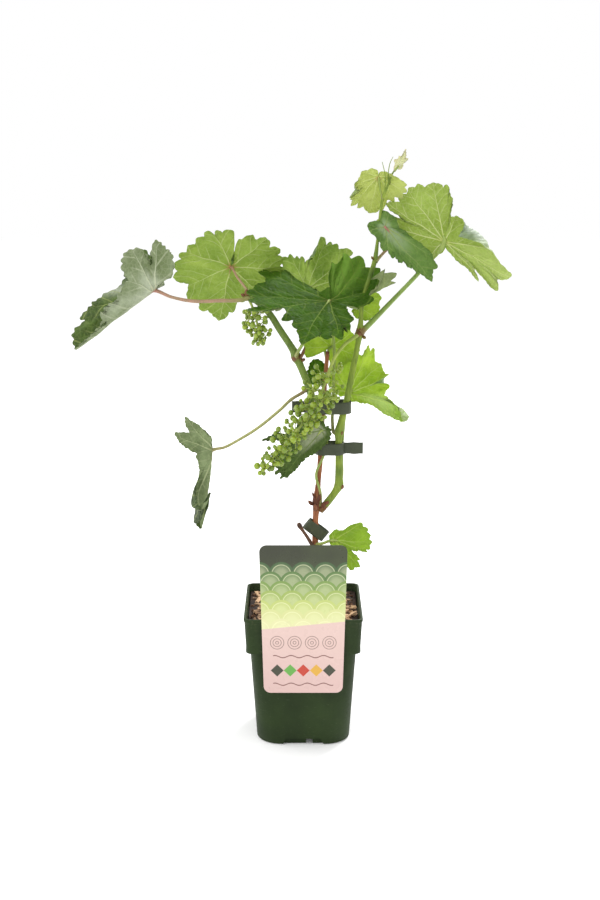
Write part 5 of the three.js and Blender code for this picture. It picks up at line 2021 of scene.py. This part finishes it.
@dataclass(frozen=True)
class CardFinish:
    """The card's print: rows of scales over a slanting pink field with rings, waves and lozenges."""

    name: str = "card_print"
    scales: tuple[str, ...] = ("#3f5a34", "#587540", "#75904a", "#94a858", "#b4c070", "#c9cd8e", "#d4d4a0")
    shine: str = "#e6e8bc"
    pitch: float = 0.01  # half the distance from scale to scale
    row: float = 0.009  # distance from row to row
    first: float = 0.172  # height of the highest row
    field: float = 0.1225  # height of the pink field
    slant: float = 0.1
    rings: tuple[float, ...] = (-0.024, -0.008, 0.008, 0.024)
    waves: tuple[float, ...] = (0.0925, 0.0655)
    lozenges: tuple[tuple[float, str], ...] = (
        (-0.024, "#3a3c2c"), (-0.012, "#5fa044"), (0.0, "#b83a26"), (0.012, "#d0a03a"), (0.024, "#3a3c2c"),
    )

    def _scaled(self, look: Shading, x: Socket, z: Socket) -> Socket:
        """The rows of scales, paler row by row, over a dim ground.

        Args:
            look: The material.
            x: Place across the card.
            z: Height.

        Returns:
            The colour.
        """
        tint = look.mix(look.ramp(z, 0.15, 0.192), "#4c5a34", "#2f3320")
        tint = look.mix(look.ramp(look.noise(26.0, 2.0), 0.4, 0.7, 0.0, 0.4), tint, "#45502e")
        for row, scale in enumerate(self.scales):
            beside = look.maths("PINGPONG", look.plus(x, 0.2 + self.pitch * (row % 2)), self.pitch)
            far = look.away(beside, look.apart(z, self.first - self.row * row))
            tint = look.mix(look.ramp(far, 0.0112, 0.0115, 1.0, 0.0), tint, scale)
            tint = look.mix(look.ramp(far, 0.003, 0.011, 0.3, 0.0), tint, self.shine)
            tint = look.mix(look.ramp(look.apart(far, 0.0085), 0.0003, 0.0005, 0.45, 0.0), tint, self.shine)
        return tint

    def _pink(self, look: Shading, x: Socket, z: Socket) -> Socket:
        """The pink field with its figures.

        Args:
            look: The material.
            x: Place across the card.
            z: Height.

        Returns:
            The colour.
        """
        tint = look.mix(look.ramp(z, 0.057, 0.12), "#cdaea8", "#d4b8b0")
        wave = look.times(look.maths("SINE", look.times(x, 420.0)), 0.0011)
        inside = look.ramp(look.maths("ABSOLUTE", x), 0.0275, 0.028, 1.0, 0.0)
        for level in self.waves:
            off = look.apart(z, look.plus(level, wave))
            tint = look.mix(look.times(look.ramp(off, 0.0004, 0.0006, 1.0, 0.0), inside), tint, "#7c5650")
        for centre in self.rings:
            far = look.away(look.apart(x, centre), look.apart(z, 0.106))
            for radius in (0.0062, 0.0038, 0.0014):
                line = look.ramp(look.apart(far, radius), 0.0002, 0.0004, 0.8, 0.0)
                tint = look.mix(line, tint, "#6a5048")
        for centre, hue in self.lozenges:
            corner = look.plus(look.apart(x, centre), look.apart(z, 0.079))
            tint = look.mix(look.ramp(corner, 0.0058, 0.0061, 1.0, 0.0), tint, hue)
        return tint

    def build(self) -> Material:
        """The printed side.

        Returns:
            The material.
        """
        look = Shading.named(self.name)
        split = put(look.tree, "ShaderNodeSeparateXYZ", {0: look.spot()})
        x, z = split.outputs["X"], split.outputs["Z"]
        level = look.minus(z, look.times(x, self.slant))
        pink = look.ramp(level, self.field, self.field + 0.0003, 1.0, 0.0)
        tint = look.mix(pink, self._scaled(look, x, z), self._pink(look, x, z))
        rough = look.ramp(look.noise(60.0), 0.3, 0.7, 0.24, 0.36)
        return look.finish(base_color=tint, roughness=rough, specular_ior_level=0.5)

    def bare(self) -> Material:
        """The plain back.

        Returns:
            The material.
        """
        look = Shading.named("card_back")
        fleck = look.noise(700.0, 4.0)
        tint = look.mix(fleck, "#cfc3b6", "#ddd2c6")
        return look.finish(base_color=tint, roughness=look.ramp(fleck, 0.3, 0.7, 0.4, 0.55))


@dataclass(frozen=True)
class Card:
    """The card: a thin rounded plate, its bridge over the rim and its tongue inside."""

    front: float = -57.1
    thick: float = 0.9
    soft: float = 0.18  # rounding of its edges
    bottom: float = 57
    top: float = 199
    bottom_width: float = 73
    top_width: float = 80
    corner: float = 6.5
    tongue: tuple[float, float, float] = (22, 10, 1.2)  # width, depth inside the pot and height of the bridge
    gap: float = 0.35  # air between the tongue and the pot
    sharp: float = 40  # degrees past which an edge stays sharp
    finish: CardFinish = CardFinish()

    def _outline(self, back: float) -> Array:
        """The plate's outline, drawn in by a distance.

        Args:
            back: The distance.

        Returns:
            Rows of x, z.
        """
        rows = []
        ends = ((self.top_width, self.top), (-self.top_width, self.top), (-self.bottom_width, self.bottom))
        for quarter, (width, z) in enumerate((*ends, (self.bottom_width, self.bottom))):
            x, lift = width / 2, self.corner if quarter < 2 else -self.corner
            centre = np.array([x - math.copysign(self.corner, x), z - lift])
            angles = math.pi / 2 * (quarter + np.linspace(0, 1, 9))
            rows.append(centre + (self.corner - back) * np.stack([np.cos(angles), np.sin(angles)], axis=1))
        return np.vstack(rows)

    def _tongue(self) -> Array:
        """The bridge and the tongue as one bent strip.

        Returns:
            The strip's two side outlines.
        """
        wide, deep, bridge = self.tongue
        front = self.front + 0.2
        inside = POT.wall + self.gap - POT.collar_half
        low, end = POT.height + self.gap, POT.height - deep
        back = inside + self.thick
        bends = (
            (front, low + 0.1), (front, low + bridge), (back - 0.4, low + bridge), (back, low + bridge - 0.4),
            (back, end), (inside, end), (inside, low),
        )
        return np.array([[(x, y, z) for y, z in bends] for x in (-wide / 2, wide / 2)])

    def build(self) -> None:
        """Builds the plate with its tongue and dresses it."""
        rings = []
        soft, thick = self.soft, self.thick
        for back, depth in ((soft, 0.0), (0.0, soft), (0.0, thick - soft), (soft, thick)):
            flat = self._outline(back)
            rings.append(np.column_stack([flat[:, 0], np.full(len(flat), self.front + depth), flat[:, 1]]))
        plate = Sketch()
        plate.add_skin(np.array(rings))
        plate.places[-1][:] = 1  # the fan at the back stays plain
        plate.add_skin(self._tongue(), 1)
        piece = plate.to_object("card_plate", [self.finish.build(), self.finish.bare()])
        piece.data.set_sharp_from_angle(angle=math.radians(self.sharp))
        dress(piece, "card", "card")


# --- ties


@dataclass(frozen=True)
class Tie:
    """A loop of tape round the stems, cupped and crumpled, with its loose tail if it has one."""

    name: str
    left: float
    right: float
    depth: float
    y: float
    z: float
    tail: float = 0.0  # length, below 0 towards the left
    slope: float = 0.0
    seed: int = 1
    width: float = 11.0
    thick: float = 0.8

    def _loop(self) -> Array:
        """The middle of the loop, seen from above.

        Returns:
            Rows of x, y.
        """
        radius = self.depth / 2 + self.thick / 2
        high, low = self.right - self.depth / 2, self.left + self.depth / 2
        right = np.linspace(-math.pi / 2, math.pi / 2, 26)
        left = right + math.pi
        bridge = np.linspace(1, 0, 24)[1:-1]
        level = np.full(len(bridge), radius)
        parts = (
            (high + radius * np.cos(right), radius * np.sin(right)),
            (low + (high - low) * bridge, level),
            (low + radius * np.cos(left), radius * np.sin(left)),
            (high + (low - high) * bridge, -level),
        )
        return np.vstack([np.stack(part, axis=1) for part in parts])

    def _sides(self) -> list[tuple[int, float]]:
        """The way round the tape's section: its face, 1 or -1, and its place from edge to edge."""
        return [(face, w) for face in (1, -1) for w in np.linspace(-1, 1, 9) * face]

    def _band(self, sketch: Sketch) -> None:
        """Adds the loop as a closed band.

        Args:
            sketch: The tie's sketch.
        """
        loop = self._loop()
        ahead = normalised(np.roll(loop, -1, axis=0) - np.roll(loop, 1, axis=0))
        out = np.stack([ahead[:, 1], -ahead[:, 0]], axis=1)
        walk = np.arange(len(loop)) / len(loop) * 2 * math.pi
        lean = 0.35 * np.sin(walk * 3 + self.seed)
        band = []
        for face, w in self._sides():
            wobble = 0.16 * np.sin(walk * 5 + w * 2 + self.seed) * (1 - abs(w) * 0.3)
            flat = loop + out * (face * 0.24 + wobble - 0.1 * w * w)[:, None]
            band.append(np.column_stack([flat, w * self.width / 2 + lean * (1 - abs(w))]))
        grid = np.array(band)
        rows, cols, _ = grid.shape
        index = np.arange(rows * cols).reshape(rows, cols)
        after = np.roll(index, -1, axis=0)
        quads = np.stack([index, np.roll(index, -1, axis=1), np.roll(after, -1, axis=1), after], axis=-1)
        sketch.add(grid.reshape(-1, 3), [quads.reshape(-1, 4)])

    def _loose_end(self, sketch: Sketch) -> None:
        """Adds the tail, slightly twisted.

        Args:
            sketch: The tie's sketch.
        """
        end = self.right if self.tail > 0 else self.left
        rings = []
        for t in np.linspace(0, 1, 18):
            twist = 0.35 * math.sin(t * 2.6 + self.seed)
            narrow = self.width / 2 * (1 - 0.04 * math.sin(t * 9))
            rings.append([
                (end + self.tail * t, face * 0.22 + twist * w * 0.5 + 0.25 * math.sin(t * 7 + w), w * narrow)
                for face, w in self._sides()
            ])
        sketch.add_skin(np.array(rings))

    def build(self, tape: Material) -> None:
        """Builds the tie, sloped and set in its place.

        Args:
            tape: The tape's material.
        """
        sketch = Sketch()
        self._band(sketch)
        if self.tail:
            self._loose_end(sketch)
        middle = (self.left + self.right) / 2
        cos, sin = math.cos(math.radians(self.slope)), math.sin(math.radians(self.slope))
        spin = np.array([[cos, 0, sin], [0, 1, 0], [-sin, 0, cos]])
        place = [middle, self.y, self.z]
        sketch.points = [(rows - [middle, 0, 0]) @ spin.T + place for rows in sketch.points]
        dress(sketch.to_object(f"band_{self.name}", [tape]), "tape", self.name)


TAPE = PlasticFinish("tape_green", "#464d39", "#3a4130", 0.45, dust="#4f5642", shine=0.3)
TIES = [
    Tie("tie_low", 1, 23, 8, 0, 197.5, slope=37, seed=2),
    Tie("tie_middle", 11.5, 37.5, 15, -1.5, 276.5, tail=18, seed=5),
    Tie("tie_top", 2.5, 43.8, 18, -1.6, 315.5, tail=-13, seed=7),
]


# --- studio


@dataclass(frozen=True)
class Lamp:
    """A soft square lamp, aimed at the plant."""

    name: str
    place: Point
    power: float
    size: float

    def build(self, target: Point) -> None:
        """Hangs the lamp.

        Args:
            target: What it shines at.
        """
        light = bpy.data.lights.new(self.name, "AREA")
        light.energy = self.power
        light.size = self.size
        lamp = linked(self.name, light)
        lamp.location = self.place
        x, y, z = np.array(target) - np.array(self.place)
        lamp.rotation_euler = (math.atan2(math.hypot(x, y), -z), 0, math.atan2(-x, y))


@dataclass(frozen=True)
class Studio:
    """The white studio, in metres: a floor, a plain sky, soft lamps and the camera."""

    reach: float = 6.0
    drop: float = 0.0005  # how far the floor lies below the pot
    target: Point = (0, 0, 0.28)
    lamps: tuple[Lamp, ...] = (
        Lamp("key", (-1.1, -1.2, 2.0), 16, 0.9),
        Lamp("back", (0.9, 1.5, 1.6), 38, 0.8),
        Lamp("side", (-1.9, 0.6, 1.0), 10, 0.8),
    )
    eye: Point = (-0.003, -1.2975, 0.5693)
    tilt: float = 12.81  # degrees below level
    lens: float = 57.24

    def _sky(self) -> None:
        """Lights the studio evenly in white."""
        world = bpy.data.worlds.new("studio")
        world.use_nodes = True
        background = world.node_tree.nodes["Background"]
        background.inputs["Color"].default_value = (1, 1, 1, 1)
        background.inputs["Strength"].default_value = 1.0
        bpy.context.scene.world = world
        bpy.context.scene.view_settings.view_transform = "Standard"

    def _floor(self) -> None:
        """Lays the floor."""
        mesh = bpy.data.meshes.new("floor")
        corners = [(x * self.reach, y * self.reach, 0) for x, y in ((-1, -1), (1, -1), (1, 1), (-1, 1))]
        mesh.from_pydata(corners, [], [(0, 1, 2, 3)])
        mesh.materials.append(Shading.named("floor_white").finish(
            base_color=(0.97, 0.97, 0.97, 1), roughness=0.9, specular_ior_level=0.1,
            emission_color=(1, 1, 1, 1), emission_strength=0.06,
        ))
        floor = linked("floor", mesh)
        floor.location.z = -self.drop

    def _camera(self) -> None:
        """Sets up the camera."""
        view = bpy.data.cameras.new("camera")
        view.lens = self.lens
        camera = linked("camera", view)
        camera.location = self.eye
        camera.rotation_euler = (math.radians(90 - self.tilt), 0, 0)
        bpy.context.scene.camera = camera

    def build(self) -> None:
        """Builds the whole studio."""
        self._sky()
        self._floor()
        for lamp in self.lamps:
            lamp.build(self.target)
        self._camera()


def write_sizes() -> None:
    """Brings the scene up to date."""
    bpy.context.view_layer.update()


def main() -> None:
    """Builds the part piece by piece, then its studio."""
    logging.basicConfig(level=logging.INFO, format="%(name)s %(message)s")
    POT.build()
    Soil().build()
    Card().build()
    for stem in STEMS:
        stem.build()
    tape = TAPE.build()
    for tie in TIES:
        tie.build(tape)
    grow_leaves()
    hang_bunches()
    Studio().build()
    write_sizes()


if __name__ == "__main__":
    main()
